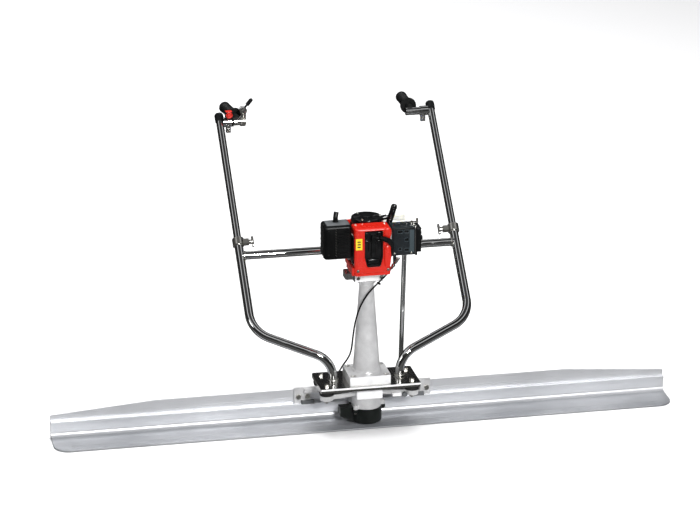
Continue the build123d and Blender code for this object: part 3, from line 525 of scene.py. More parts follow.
COWL_RED = MouldedPlastic("cowl_red", "red_plastic", (0.60, 0.014, 0.005), 0.26, grain=1800.0, depth=0.00001,
                          gloss=0.5, dust=0.05, shine=0.5)
BUTTON_RED = MouldedPlastic("button_red", "red_button", (0.62, 0.03, 0.02), 0.3, grain=1600.0, depth=0.00004,
                            gloss=0.5, dust=0.1)
LABEL_YELLOW = MouldedPlastic("label_yellow", "red_plastic", (0.86, 0.62, 0.02), 0.4, grain=2400.0,
                              depth=0.00002, gloss=0.2, dust=0.1)
LABEL_INK = MouldedPlastic("label_ink", "black_plastic", (0.02, 0.018, 0.01), 0.5, grain=2400.0,
                           depth=0.00002, dust=0.1)
TANK = MilkyPlastic("milky_tank", "tank_plastic", (0.86, 0.86, 0.83), 0.38)
RUBBER = MouldedRubber("moulded_rubber", "rubber", (0.014, 0.014, 0.014), 0.7)
GRIP_RUBBER = MouldedRubber("grip_rubber", "rubber", (0.005, 0.0055, 0.0055), 0.5)
JACKET = MouldedRubber("cable_rubber", "cable_jacket", (0.008, 0.008, 0.009), 0.4)
FOAM = OpenFoam("filter_foam", "foam", (0.2, 0.2, 0.21), 0.9)

NODE_FINISHES: dict[Finish, tuple[str, ...]] = {
    BLADE: ("blade",),
    CAST: ("drive_column", "exciter_housing", "blade_clamp_backs", "flywheel_fan", "carburettor"),
    ROUGH_CAST: ("crankcase", "cylinder"),
    MACHINED: ("clutch_housing", "piston"),
    TURNED: ("eccentric_shaft", "eccentric_weight", "ball_bearings", "drive_shaft", "coupling_hubs",
             "clutch_drum", "clutch_shoes", "crankshaft", "connecting_rod"),
    TUBE_CHROME: ("handle_tubes", "crossbar", "upper_tube_left", "upper_tube_right", "cross_tube_left",
                  "cross_tube_right", "kickstand"),
    PLATE_CHROME: ("base_plate",),
    ZINC: ("frame_bolts", "clamp_collars", "wing_bolt_left", "wing_bolt_right", "throttle_bracket",
           "throttle_arm", "choke_lever", "spark_plug"),
    DARK_STEEL: ("blade_clamp_bars",),
    ENAMEL: ("muffler",),
    CUP_PAINT: ("exciter_cup",),
    BLACK_PLASTIC: ("plug_cover", "ignition_coil", "recoil_pulley", "air_cleaner_cover", "throttle_lever",
                    "stop_switch"),
    GLOSS_BLACK: ("recoil_housing", "starter_handle"),
    GREY_PLASTIC: ("air_cleaner_case",),
    COWL_RED: ("engine_shroud",),
    BUTTON_RED: ("stop_button",),
    TANK: ("fuel_tank", "fuel_cap"),
    RUBBER: ("rubber_dampers", "coupling_spider", "fuel_hose", "kickstand_foot"),
    GRIP_RUBBER: ("grip_left", "grip_right"),
    JACKET: ("throttle_cable", "plug_lead"),
    FOAM: ("air_filter",),
}


def dress_nodes() -> None:
    """Give every CAD node its finish."""
    for finish, names in NODE_FINISHES.items():
        for name in names:
            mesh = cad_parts[name].data
            mesh.materials.clear()
            mesh.materials.append(finish.material())


# ---- studio -------------------------------------------------------------------------------------
@dataclass
class Studio:
    """Pale floor, soft lights and the camera.

    Attributes:
        azimuth: Side from which the camera looks, in degrees from the front towards the right.
        elevation: Camera height angle from the origin, in degrees.
        distance: Camera distance from the origin, in metres.
        aim: Point at the middle of the view.
        lens: Focal length in millimetres on the default sensor.
        sky: Grey levels of the surroundings, from the horizon up to the zenith.
    """

    azimuth: float = -12.1
    elevation: float = 21.8
    distance: float = 9.467
    aim: Point = (-0.0106, 0.1753, 0.4230)
    lens: float = 169.7
    sky: tuple[Pair, ...] = (
        (0.0, 0.03), (0.25, 0.02), (0.60, 0.03), (0.68, 0.06), (0.78, 1.0), (0.86, 0.10), (1.0, 0.02))

    def build(self) -> None:
        """Make the floor, the lights, the world and the camera."""
        self._camera()
        self._floor()
        self._world()
        self._light("key_light", (0.7, -6.0, 3.5), 320.0, 1.0)
        self._light("fill_light", (-5.2, -2.4, 3.4), 30.0, 1.8)
        for name, place, power, size in (("top_light", (0.2, 1.0, 5.4), 300.0, 3.4),
                                         ("back_light", (-1.5, 6.5, 4.2), 200.0, 3.0)):
            self._light(name, place, power, size).visible_glossy = False
        bpy.context.scene.view_settings.view_transform = "Standard"
        log.info("studio ready")

    def _floor(self) -> None:
        """Large round floor: pale to the eye, but near black in what shiny parts mirror, a painted dark
        reflection that gives them dark bands.
        """
        shape = bmesh.new()
        bmesh.ops.create_circle(shape, cap_ends=True, segments=96, radius=40.0)
        piece = mesh_object("floor", shape)
        tree = ShaderTree("floor_paint")
        cloud = tree.noise(0.8, 3.0)
        painted_reflection_mask = tree.node("ShaderNodeLightPath", output="Is Glossy Ray")
        pale = tree.blend(cloud, (0.93, 0.93, 0.935), (0.95, 0.95, 0.955))
        # Painted reflection: glossy rays see a near-black floor, so shiny parts mirror dark where the floor
        # is pale.
        tree.surface(Base_Color=tree.blend(painted_reflection_mask * 0.96, pale, (0.016, 0.016, 0.015)), Roughness=0.9,
                     Specular_IOR_Level=0.05)
        piece.data.materials.append(tree.material)
        piece.location.z = -0.0005

    def _world(self) -> None:
        """Dim surroundings under a bright ceiling, so that chrome shows dark and light bands."""
        world = bpy.data.worlds.new("studio_world")
        bpy.context.scene.world = world
        world.use_nodes = True
        nodes, links = world.node_tree.nodes, world.node_tree.links
        background = nodes["Background"]
        place = nodes.new("ShaderNodeTexCoord")
        split = nodes.new("ShaderNodeSeparateXYZ")
        ramp = nodes.new("ShaderNodeValToRGB")
        while len(ramp.color_ramp.elements) < len(self.sky):
            ramp.color_ramp.elements.new(1.0)
        for element, (position, grey) in zip(ramp.color_ramp.elements, self.sky):
            element.position = position
            element.color = (grey, grey, grey * 1.02, 1.0)
        links.new(place.outputs["Generated"], split.inputs[0])
        links.new(split.outputs["Z"], ramp.inputs["Fac"])
        links.new(ramp.outputs["Color"], background.inputs["Color"])
        background.inputs["Strength"].default_value = 1.0

    @staticmethod
    def _light(name: str, place: Point, power: float, size: float) -> bpy.types.Object:
        """Add one soft area light that faces the machine.

        Args:
            name: The light's name.
            place: Its place.
            power: Watts.
            size: Side of its square, in metres.

        Returns:
            The light.
        """
        data = bpy.data.lights.new(name, "AREA")
        data.energy = power
        data.size = size
        lamp = bpy.data.objects.new(name, data)
        bpy.context.scene.collection.objects.link(lamp)
        lamp.location = place
        lamp.rotation_euler = (Vector((0.0, 0.0, 0.35)) - Vector(place)).to_track_quat("-Z", "Y").to_euler()
        return lamp

    def _camera(self) -> None:
        """Add the camera at its viewing angle."""
        turn, rise = math.radians(self.azimuth), math.radians(self.elevation)
        back = Vector((math.sin(turn) * math.cos(rise), -math.cos(turn) * math.cos(rise), math.sin(rise)))
        data = bpy.data.cameras.new("camera")
        data.lens = self.lens
        data.clip_end = 200.0
        camera = bpy.data.objects.new("camera", data)
        bpy.context.scene.collection.objects.link(camera)
        camera.location = back * self.distance
        camera.rotation_euler = (Vector(self.aim) - camera.location).to_track_quat("-Z", "Y").to_euler()
        bpy.context.scene.camera = camera


# ---- mesh building ------------------------------------------------------------------------------
def mesh_object(name: str, shape: bmesh.types.BMesh) -> bpy.types.Object:
    """Turn a bmesh into an object in the scene.

    Args:
        name: The object's name.
        shape: The bmesh, which is freed.

    Returns:
        The object.
    """
    mesh = bpy.data.meshes.new(name)
    shape.to_mesh(mesh)
    shape.free()
    piece = bpy.data.objects.new(name, mesh)
    bpy.context.scene.collection.objects.link(piece)
    return piece


def settle(piece: bpy.types.Object, finish: Finish, body: str, hides: Sequence[str] = ()) -> bpy.types.Object:
    """Shade a finished mesh piece, and say which body it rides on.

    Args:
        piece: The piece.
        finish: Its finish.
        body: Body that it moves with.
        hides: CAD nodes that it stands for.

    Returns:
        The piece.
    """
    if not piece.data.materials:
        piece.data.materials.append(finish.material())
    piece.data.shade_smooth()
    piece.data.set_sharp_from_angle(angle=math.radians(38.0))
    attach(piece, body)
    if hides:
        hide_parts(*hides)
    log.info("%s rides on %s, %d faces", piece.name, body, len(piece.data.polygons))
    return piece


def frame_along(direction: Vector) -> Matrix:
    """Rotation that takes Z to a direction."""
    return direction.normalized().to_track_quat("Z", "Y").to_matrix()


class Shaper:
    """Collects closed shapes, given in millimetres, into one piece."""

    def __init__(self, name: str) -> None:
        """Start an empty piece.

        Args:
            name: The piece's name.
        """
        self.name = name
        self.shape = bmesh.new()

    def box(self, low: Point, high: Point, radius: float = 1.0, segments: int = 3) -> "Shaper":
        """Add a block with rounded edges.

        Args:
            low: Lowest corner.
            high: Highest corner.
            radius: Radius of the edges.
            segments: Steps of the rounding.

        Returns:
            The shaper.
        """
        middle = (Vector(low) + Vector(high)) * 0.5 * MM
        size = (Vector(high) - Vector(low)) * MM
        place = Matrix.Translation(middle) @ Matrix.Diagonal((*size, 1.0))
        made = bmesh.ops.create_cube(self.shape, size=1.0, matrix=place)
        edges = list({edge for vertex in made["verts"] for edge in vertex.link_edges})
        bmesh.ops.bevel(self.shape, geom=edges, offset=radius * MM, segments=segments, profile=0.5,
                        affect="EDGES", clamp_overlap=True)
        return self

    def tube(self, points: Sequence[Point], radius: Union[float, Sequence[float]], closed: bool = False,
             sides: int = 12) -> "Shaper":
        """Add a round bar along a line of points.

        Args:
            points: The line.
            radius: One radius, or one for each point.
            closed: Whether the last point joins the first.
            sides: Faces round the bar.

        Returns:
            The shaper.
        """
        line = [Vector(point) * MM for point in points]
        count = len(line)
        radii = [radius] * count if isinstance(radius, (int, float)) else list(radius)
        rings = []
        normal = None
        for index, point in enumerate(line):
            before = line[index - 1] if index or closed else point
            after = line[(index + 1) % count] if index < count - 1 or closed else point
            along = (after - before).normalized()
            if normal is None:
                normal = along.orthogonal().normalized()
            normal = (normal - along * normal.dot(along)).normalized()
            side = along.cross(normal)
            spokes = [normal * math.cos(turn) + side * math.sin(turn) for turn in angles(sides)]
            rings.append([self.shape.verts.new(point + spoke * radii[index] * MM) for spoke in spokes])
        self._join(rings, closed, sides)
        return self

    def lathe(self, profile: Sequence[Pair], place: Point, direction: Point = (0.0, 0.0, 1.0),
              sides: int = 40) -> "Shaper":
        """Add a turned shape.

        Args:
            profile: Radius and distance along the axis of each step, from one end to the other.
            place: Start of the axis.
            direction: The axis.
            sides: Faces round the shape.

        Returns:
            The shaper.
        """
        turned = frame_along(Vector(direction))
        rings = []
        for radius, along in profile:
            rings.append([
                self.shape.verts.new((Vector(place) + turned @ Vector(
                    (max(radius, 0.02) * math.cos(turn), max(radius, 0.02) * math.sin(turn), along))) * MM)
                for turn in angles(sides)])
        self._join(rings, False, sides)
        return self

    def blob(self, middle: Point, size: Point, power: float = 2.6) -> "Shaper":
        """Add a rounded lump, between an ellipsoid and a block.

        Args:
            middle: Its middle.
            size: Half its width along each axis.
            power: 2 for an ellipsoid; higher is more like a block.

        Returns:
            The shaper.
        """
        made = bmesh.ops.create_icosphere(self.shape, subdivisions=4, radius=1.0)
        for vertex in made["verts"]:
            reach = sum(abs(part) ** power for part in vertex.co) ** (-1.0 / power)
            vertex.co = Vector([(centre + part * reach * half) * MM
                                for centre, part, half in zip(middle, vertex.co, size)])
        return self

    def _join(self, rings: list[list[bmesh.types.BMVert]], closed: bool, sides: int) -> None:
        """Face the gaps between rings, and the two ends of an open run.

        Args:
            rings: Rings of vertices in order.
            closed: Whether the last ring joins the first.
            sides: Vertices in a ring.
        """
        pairs = list(zip(rings, rings[1:])) + ([(rings[-1], rings[0])] if closed else [])
        for first, second in pairs:
            for step in range(sides):
                after = (step + 1) % sides
                self.shape.faces.new((first[step], first[after], second[after], second[step]))
        if not closed:
            self.shape.faces.new(list(reversed(rings[0])))
            self.shape.faces.new(rings[-1])

    def finish(self, finish: Finish, body: str, hides: Sequence[str] = ()) -> bpy.types.Object:
        """Turn the shapes into a piece.

        Args:
            finish: The piece's finish.
            body: Body that it rides on.
            hides: CAD nodes that it stands for.

        Returns:
            The piece.
        """
        bmesh.ops.recalc_face_normals(self.shape, faces=self.shape.faces)
        return settle(mesh_object(self.name, self.shape), finish, body, hides)


# ---- repeated details ---------------------------------------------------------------------------
HOOP_FACES = 8          # faces round a hoop's bar
WASHER_FACES = 24
WASHER_SPREAD = 1.45    # washer's radius over the screw head's
WASHER_SHARE = 0.35     # washer's thickness over the head's height
FACING_FRONT = (90.0, 0.0, 0.0)


class Unit(Enum):
    """Shape that a repeat places again and again."""

    BAR = "bar"
    HOOP = "hoop"
    STUD = "stud"
    SCREW = "screw"


class Layout(Enum):
    """Path that a repeat follows."""

    LINE = "line"
    CIRCLE = "circle"


class GroupTree:
    """Geometry Nodes group under construction."""

    def __init__(self, name: str, sockets: Sequence[tuple[str, str]]) -> None:
        """Start a group that gives one geometry.

        Args:
            name: The group's name.
            sockets: Name and kind of each input.
        """
        self.group = bpy.data.node_groups.new(name, "GeometryNodeTree")
        self.group.interface.new_socket(name="Geometry", in_out="OUTPUT", socket_type="NodeSocketGeometry")
        for label, kind in sockets:
            self.group.interface.new_socket(name=label, in_out="INPUT", socket_type=kind)
        self.given = self.group.nodes.new("NodeGroupInput").outputs

    def node(self, kind: str, inputs: dict[Any, Any], **settings: Any) -> bpy.types.Node:
        """Add a node.

        Args:
            kind: Blender's name for the node type.
            inputs: Constant, socket or list of sockets for each input, by name or number.
            settings: Properties of the node.

        Returns:
            The node.
        """
        made = self.group.nodes.new(kind)
        for key, setting in settings.items():
            setattr(made, key, setting)
        for key, value in inputs.items():
            if isinstance(value, (list, bpy.types.NodeSocket)):
                for socket in value if isinstance(value, list) else [value]:
                    self.group.links.new(socket, made.inputs[key])
            else:
                made.inputs[key].default_value = value
        return made

    def times(self, value: bpy.types.NodeSocket, factor: float) -> bpy.types.NodeSocket:
        """Multiply a number by a constant."""
        return self.node("ShaderNodeMath", {0: value, 1: factor}, operation="MULTIPLY").outputs[0]


@dataclass
class Repeat:
    """Geometry Nodes group that places one unit along a line or round a circle, then bakes it to a mesh.

    Attributes:
        name: Name of the piece.
        unit: What is repeated.
        layout: What it follows.
        count: How many.
        size: Unit's size in millimetres: a bar's sides; a hoop's or stud's radius, thickness and height.
        start: First place on a line, or the circle's middle, in millimetres.
        step: From one place to the next on a line, in millimetres.
        radius: The circle's radius in millimetres.
        unit_turn: Turn of each unit, in degrees.
        turn: Turn of the whole circle, in degrees.
        sides: Sides of a stud or screw head.
    """

    name: str
    unit: Unit
    layout: Layout
    count: int
    size: Point
    start: Point = (0.0, 0.0, 0.0)
    step: Point = (0.0, 0.0, 1.0)
    radius: float = 10.0
    unit_turn: Point = (0.0, 0.0, 0.0)
    turn: Point = (0.0, 0.0, 0.0)
    sides: int = 24

    INPUTS = (("Count", "NodeSocketInt"), ("Unit Size", "NodeSocketVector"), ("Start", "NodeSocketVector"),
              ("Step", "NodeSocketVector"), ("Radius", "NodeSocketFloat"), ("Unit Turn", "NodeSocketVector"),
              ("Turn", "NodeSocketVector"), ("Sides", "NodeSocketInt"))

    def _group(self, material: bpy.types.Material) -> bpy.types.NodeTree:
        """Build the node group.

        Args:
            material: Material of the result.

        Returns:
            The group.
        """
        tree = GroupTree(self.name + "_repeat", self.INPUTS)
        given = tree.given
        unit = self._unit(tree)
        if self.layout is Layout.LINE:
            places = tree.node("GeometryNodeMeshLine", {
                "Count": given["Count"], "Start Location": given["Start"], "Offset": given["Step"]},
                               mode="OFFSET")
            facing = given["Unit Turn"]
        else:
            places = tree.node("GeometryNodeMeshCircle", {
                "Vertices": given["Count"], "Radius": given["Radius"]}, fill_type="NONE")
            here = tree.node("GeometryNodeInputPosition", {}).outputs["Position"]
            facing = tree.node("FunctionNodeAlignRotationToVector", {"Vector": here}, axis="X",
                               pivot_axis="Z").outputs["Rotation"]
            unit = tree.node("GeometryNodeTransform",
                             {"Geometry": unit, "Rotation": given["Unit Turn"]}).outputs[0]
        spread = tree.node("GeometryNodeInstanceOnPoints", {
            "Points": places.outputs["Mesh"], "Instance": unit, "Rotation": facing}).outputs["Instances"]
        if self.layout is Layout.CIRCLE:
            spread = tree.node("GeometryNodeTransform", {
                "Geometry": spread, "Translation": given["Start"], "Rotation": given["Turn"]}).outputs[0]
        real = tree.node("GeometryNodeRealizeInstances", {"Geometry": spread}).outputs[0]
        dressed = tree.node("GeometryNodeSetMaterial", {"Geometry": real, "Material": material}).outputs[0]
        tree.node("NodeGroupOutput", {"Geometry": dressed})
        return tree.group

    def _unit(self, tree: GroupTree) -> bpy.types.NodeSocket:
        """Build the repeated shape.

        Args:
            tree: Tree of the group.

        Returns:
            The shape's socket.
        """
        if self.unit is Unit.BAR:
            return tree.node("GeometryNodeMeshCube", {"Size": tree.given["Unit Size"]}).outputs["Mesh"]
        size = tree.node("ShaderNodeSeparateXYZ", {"Vector": tree.given["Unit Size"]}).outputs
        sides = tree.given["Sides"]
        if self.unit is Unit.HOOP:
            path = tree.node("GeometryNodeCurvePrimitiveCircle", {
                "Resolution": sides, "Radius": size["X"]}, mode="RADIUS").outputs["Curve"]
            section = tree.node("GeometryNodeCurvePrimitiveCircle", {
                "Resolution": HOOP_FACES, "Radius": size["Y"]}, mode="RADIUS").outputs["Curve"]
            return tree.node("GeometryNodeCurveToMesh",
                             {"Curve": path, "Profile Curve": section}).outputs["Mesh"]
        head = tree.node("GeometryNodeMeshCylinder", {
            "Vertices": sides, "Radius": size["X"], "Depth": size["Z"]}).outputs["Mesh"]
        if self.unit is Unit.STUD:
            return head
        washer = tree.node("GeometryNodeMeshCylinder", {
            "Vertices": WASHER_FACES, "Radius": tree.times(size["X"], WASHER_SPREAD),
            "Depth": tree.times(size["Z"], WASHER_SHARE)}).outputs["Mesh"]
        lift = tree.node("ShaderNodeCombineXYZ", {"Z": tree.times(size["Z"], 0.5)}).outputs[0]
        raised = tree.node("GeometryNodeTransform", {"Geometry": head, "Translation": lift}).outputs[0]
        return tree.node("GeometryNodeJoinGeometry", {0: [washer, raised]}).outputs[0]

    def bake(self, finish: Finish, body: str) -> bpy.types.Object:
        """Run the group and keep its result as a plain mesh.

        Args:
            finish: The piece's finish.
            body: Body that it rides on.

        Returns:
            The piece.
        """
        group = self._group(finish.material())
        maker = bpy.data.objects.new(self.name + "_maker", bpy.data.meshes.new(self.name + "_maker"))
        bpy.context.scene.collection.objects.link(maker)
        modifier = maker.modifiers.new("repeat", "NODES")
        modifier.node_group = group
        values = {
            "Count": self.count, "Sides": self.sides, "Radius": self.radius * MM,
            "Unit Size": Vector(self.size) * MM, "Start": Vector(self.start) * MM,
            "Step": Vector(self.step) * MM,
            "Unit Turn": Vector([math.radians(angle) for angle in self.unit_turn]),
            "Turn": Vector([math.radians(angle) for angle in self.turn])}
        for socket in group.interface.items_tree:
            if socket.in_out == "INPUT":
                modifier[socket.identifier] = values[socket.name]
        done = maker.evaluated_get(bpy.context.evaluated_depsgraph_get())
        mesh = bpy.data.meshes.new_from_object(done)
        mesh.name = self.name
        maker.modifiers.remove(modifier)
        bpy.data.objects.remove(maker)
        piece = bpy.data.objects.new(self.name, mesh)
        bpy.context.scene.collection.objects.link(piece)
        return settle(piece, finish, body)


def face_screws(name: str, first: Point, step: Point, size: Pair, finish: Finish,
                body: str = "frame") -> None:
    """Two hexagon screws in a face that looks to the front.

    Args:
        name: Name of the piece.
        first: Place of the first screw.
        step: From the first to the second.
        size: Radius and height of a head.
        finish: Their finish.
        body: Body that they ride on.
    """
    Repeat(name, Unit.SCREW, Layout.LINE, 2, (size[0], 0.0, size[1]), first, step, unit_turn=FACING_FRONT,
           sides=6).bake(finish, body)


def angles(count: int, per_turn: Optional[int] = None) -> list[float]:
    """Evenly spaced angles.

    Args:
        count: How many.
        per_turn: How many make a full turn; all of them by default.

    Returns:
        The angles in radians.
    """
    return [math.tau * step / (per_turn or count) for step in range(count)]


# ---- cords --------------------------------------------------------------------------------------
@dataclass
class Cord:
    """Cable, lead or hose on a smooth line.

    Attributes:
        name: Name of the piece.
        node: CAD node that it stands for.
        route: Control points in millimetres.
        radius: Radius in millimetres.
        length: Real length in metres.
        stiffness: limp, medium or stiff; not used.
        finish: Its finish.
    """

    name: str
    node: str
    route: Sequence[Point]
    radius: float
    length: float
    stiffness: str
    finish: Finish

    STEPS = 12
    ROUNDING = 5

    def build(self) -> bpy.types.Object:
        """Returns:
            The piece.
        """
        curve = bpy.data.curves.new(self.name, "CURVE")
        curve.dimensions = "3D"
        spline = curve.splines.new("NURBS")
        spline.points.add(len(self.route) - 1)
        for point, place in zip(spline.points, self.route):
            point.co = (*(Vector(place) * MM), 1.0)
        spline.order_u = 3
        spline.use_endpoint_u = True
        curve.resolution_u = self.STEPS
        curve.bevel_depth = self.radius * MM
        curve.bevel_resolution = self.ROUNDING
        curve.use_fill_caps = True
        piece = bpy.data.objects.new(self.name, curve)
        bpy.context.scene.collection.objects.link(piece)
        curve.materials.append(self.finish.material())
        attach(piece, "frame")
        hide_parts(self.node)
        2 * self.radius * MM
        log.info("%s is %.3f m long", self.name, self.length)
        return piece


def build_cords() -> None:
    """Make the throttle cable, the plug lead and the fuel hose."""
    Cord("throttle_cable_line", "throttle_cable", (
        (-97, 1, 143), (-84, 16, 143), (-72, 26, 151), (-61.5, 30.5, 166), (-51, 27, 182), (-43, 17, 203),
        (-41, 3, 231), (-40, -9, 272), (-36, -20, 316), (-25, -28, 360), (-5, -36, 400), (22, -48, 434),
        (48, -58, 463), (66, -68, 497)), 2.5, 0.4345, "medium", JACKET).build()
    Cord("plug_lead_line", "plug_lead", (
        (7, -92, 584), (18, -100, 586), (31, -108.5, 585), (46, -105.5, 577), (53, -94, 562), (54, -86, 543),
        (53, -76, 524), (53.5, -62, 508), (56, -44, 498), (57, -28, 497), (57, -14, 500)),
        3.5, 0.1788, "medium", JACKET).build()
    Cord("fuel_hose_line", "fuel_hose", (
        (52, -35.8, 565), (56, -20, 563), (61, -2, 552), (64, 10.2, 538)), 2.5, 0.0566, "limp",
        RUBBER).build()


# ---- sub-assemblies -----------------------------------------------------------------------------
@dataclass
class Cowl:
    """Red engine cowl's trim: lip, bulges, label, beads, screws, and the black cover in its opening.

    Attributes:
        left: X of its left side.
        right: X of its right side.
        front: Y of its front face.
        foot: Height of the bead round its foot.
        ridge: Height of the ribs on its roof.
        opening: Half the opening's width, its bottom and its top.
        bulges: Middle (Y from the front face), half size and squareness of each bulge beside the opening.
        label: Left, bottom, right and top of the label.
        label_bar: X and height of the lowest of the label's bars.
        cover_pads: Half size X, back, low and high of the pads on the cover, either side of its middle.
        pad_middle: X of the pads from the cover's middle.
        sleeve: Points of the thick sleeve on the plug lead.
        sleeve_radii: The sleeve's radius at each point.
    """

    left: float = -54.0
    right: float = 49.0
    front: float = -100.0
    foot: float = 484.0
    ridge: float = 615.2
    opening: Point = (27.0, 501.0, 608.5)
    bulges: tuple[tuple[Point, Point, float], ...] = (
        ((39.0, 2.0, 533.0), (10.0, 8.5, 33.0), 3.2), ((39.5, 2.5, 600.0), (10.5, 6.0, 15.0), 3.0))
    label: tuple[float, float, float, float] = (-51.5, 554.0, -33.0, 587.0)
    label_bar: Pair = (-42.3, 563.0)
    cover_pads: tuple[tuple[float, Point, float], ...] = (
        (5.5, (4.5, 583.0, 602.0), 1.6), (6.5, (3.5, 575.5, 579.0), 1.2))
    pad_middle: float = 17.5
    sleeve: tuple[Point, ...] = (
        (17.0, -99.5, 586.0), (20.0, -101.5, 586.0), (31.0, -107.5, 584.0), (43.0, -106.0, 577.0),
        (51.0, -96.5, 564.0), (54.0, -87.0, 546.0), (53.5, -79.0, 529.0), (53.2, -77.0, 526.0))
    sleeve_radii: tuple[float, ...] = (4.4, 6.4, 7.4, 7.4, 7.2, 7.0, 6.6, 4.6)

    def build(self) -> None:
        """Make every piece of the trim."""
        self._lip()
        self._bulges()
        self._label()
        self._beads()
        self._screws()
        self._cover()
        self._lead()

    def _lip(self) -> None:
        """Raised lip that follows the opening's edge."""
        width, low, high = self.opening
        gap = 0.8
        half, low, high = width + gap, low - gap, high + gap
        taper = 30
        corners = ((-half, high, 6), (half, high, 6), (half, low + taper, 12), (half * 0.72, low, 9),
                   (-half * 0.72, low, 9), (-half, low + taper, 12))
        outline = rounded_outline([(x, z) for x, z, _ in corners], [radius for _, _, radius in corners])
        lip = Shaper("cowl_lip")
        lip.tube([(x, self.front + 0.2, z) for x, z in outline], 1.7, closed=True, sides=10)
        lip.finish(COWL_RED, "frame")

    def _bulges(self) -> None:
        """Bulges on the right of the opening."""
        duct = Shaper("cowl_duct")
        for (x, y, z), size, power in self.bulges:
            duct.blob((x, self.front + y, z), size, power)
        duct.finish(COWL_RED, "frame")

    def _label(self) -> None:
        """Plain yellow plate with three dark bars."""
        left, low, right, high = self.label
        plate = Shaper("cowl_label")
        plate.box((left, self.front - 0.7, low), (right, self.front + 0.3, high), 0.4, 2)
        plate.finish(LABEL_YELLOW, "frame")
        x, z = self.label_bar
        Repeat("cowl_label_bars", Unit.BAR, Layout.LINE, 3, size=(9.0, 0.5, 3.4),
               start=(x, self.front - 0.75, z), step=(0.0, 0.0, 7.5)).bake(LABEL_INK, "frame")

    def _beads(self) -> None:
        """Moulded bead round the cowl's foot, and ribs across its roof."""
        skin, cut, side_back = 0.1, 3.0, -92.0
        foot = Shaper("cowl_foot_bead")
        foot.tube([(x, y, self.foot) for x, y in (
            (self.left - skin, -6.0), (self.left - skin, side_back), (self.left + cut, self.front + cut),
            (self.left + 3 * cut, self.front - skin), (self.right - 3 * cut, self.front - skin),
            (self.right - cut, self.front + cut), (self.right + skin, side_back), (self.right + skin, 40.0))],
            1.1, sides=8)
        foot.finish(COWL_RED, "frame")
        Repeat("cowl_roof_ribs", Unit.BAR, Layout.LINE, 5, size=(1.6, 30.0, 1.0),
               start=(-30.0, -74.0, self.ridge), step=(15.0, 0.0, 0.0)).bake(COWL_RED, "frame")

    def _screws(self) -> None:
        """Cap screws at the lower corners of the front and on the roof's ridge."""
        face_screws("cowl_front_screws", (-45.0, self.front - 0.4, 492.0), (86.0, 0.0, 0.0), (2.8, 2.6), ZINC)
        Repeat("cowl_roof_screws", Unit.SCREW, Layout.LINE, 2, size=(2.8, 0.0, 2.6),
               start=(-44.0, -60.0, self.ridge), step=(82.0, 0.0, 0.0), sides=6).bake(ZINC, "frame")

    def _cover(self) -> None:
        """Ribs and raised pads on the black cover in the opening."""
        Repeat("boot_ribs", Unit.BAR, Layout.LINE, 3, size=(1.4, 1.6, 46.0),
               start=(-4.0, self.front + 0.9, 563.0), step=(4.0, 0.0, 0.0)).bake(GLOSS_BLACK, "frame")
        panel = Shaper("boot_pads")
        for side in (-1, 1):
            middle = side * self.pad_middle
            for (half, (back, low, high), radius), face in zip(self.cover_pads, (8.8, 8.6)):
                panel.box((middle - half, self.front + back, low), (middle + half, self.front + face, high),
                          radius)
        panel.box((-17.0, self.front + 3.6, 508.0), (17.0, self.front + 8.8, 524.0), 3.0)
        panel.finish(GLOSS_BLACK, "frame")

    def _lead(self) -> None:
        """Thick sleeve on the front stretch of the plug lead, and its collar on the cover."""
        sleeve = Shaper("lead_sleeve")
        sleeve.tube(self.sleeve, self.sleeve_radii, sides=20)
        sleeve.finish(BLACK_PLASTIC, "frame")
        collar = Shaper("boot_collar")
        collar.lathe(((6.8, 0.0), (7.6, 1.0), (7.6, 5.0), (5.6, 9.0), (4.4, 12.0)), (6.0, -92.6, 584.0),
                     (0.8, -0.55, 0.12), 24)
        collar.finish(BLACK_PLASTIC, "frame")


def rounded_outline(corners: Sequence[Pair], radii: Sequence[float]) -> list[Pair]:
    """Closed outline with its corners rounded.

    Args:
        corners: The corners in order.
        radii: A radius for each.

    Returns:
        Points of the outline.
    """
    points = []
    steps = 5
    for index, radius in enumerate(radii):
        here = Vector(corners[index])
        before = (Vector(corners[index - 1]) - here).normalized()
        after = (Vector(corners[(index + 1) % len(corners)]) - here).normalized()
        reach = radius / math.tan(before.angle(after) / 2)
        start, end = here + before * reach, here + after * reach
        for step in range(steps + 1):
            share = step / steps
            curve = start * (1 - share) ** 2 + here * 2 * share * (1 - share) + end * share ** 2
            points.append((curve.x, curve.y))
    return points


def rounded_rectangle(low: Pair, high: Pair, radius: float) -> list[Pair]:
    """Closed rectangle with rounded corners.

    Args:
        low: Lower left corner.
        high: Upper right corner.
        radius: The corners' radius.

    Returns:
        Points of the outline.
    """
    corners = [(low[0], low[1]), (high[0], low[1]), (high[0], high[1]), (low[0], high[1])]
    return rounded_outline(corners, [radius] * len(corners))


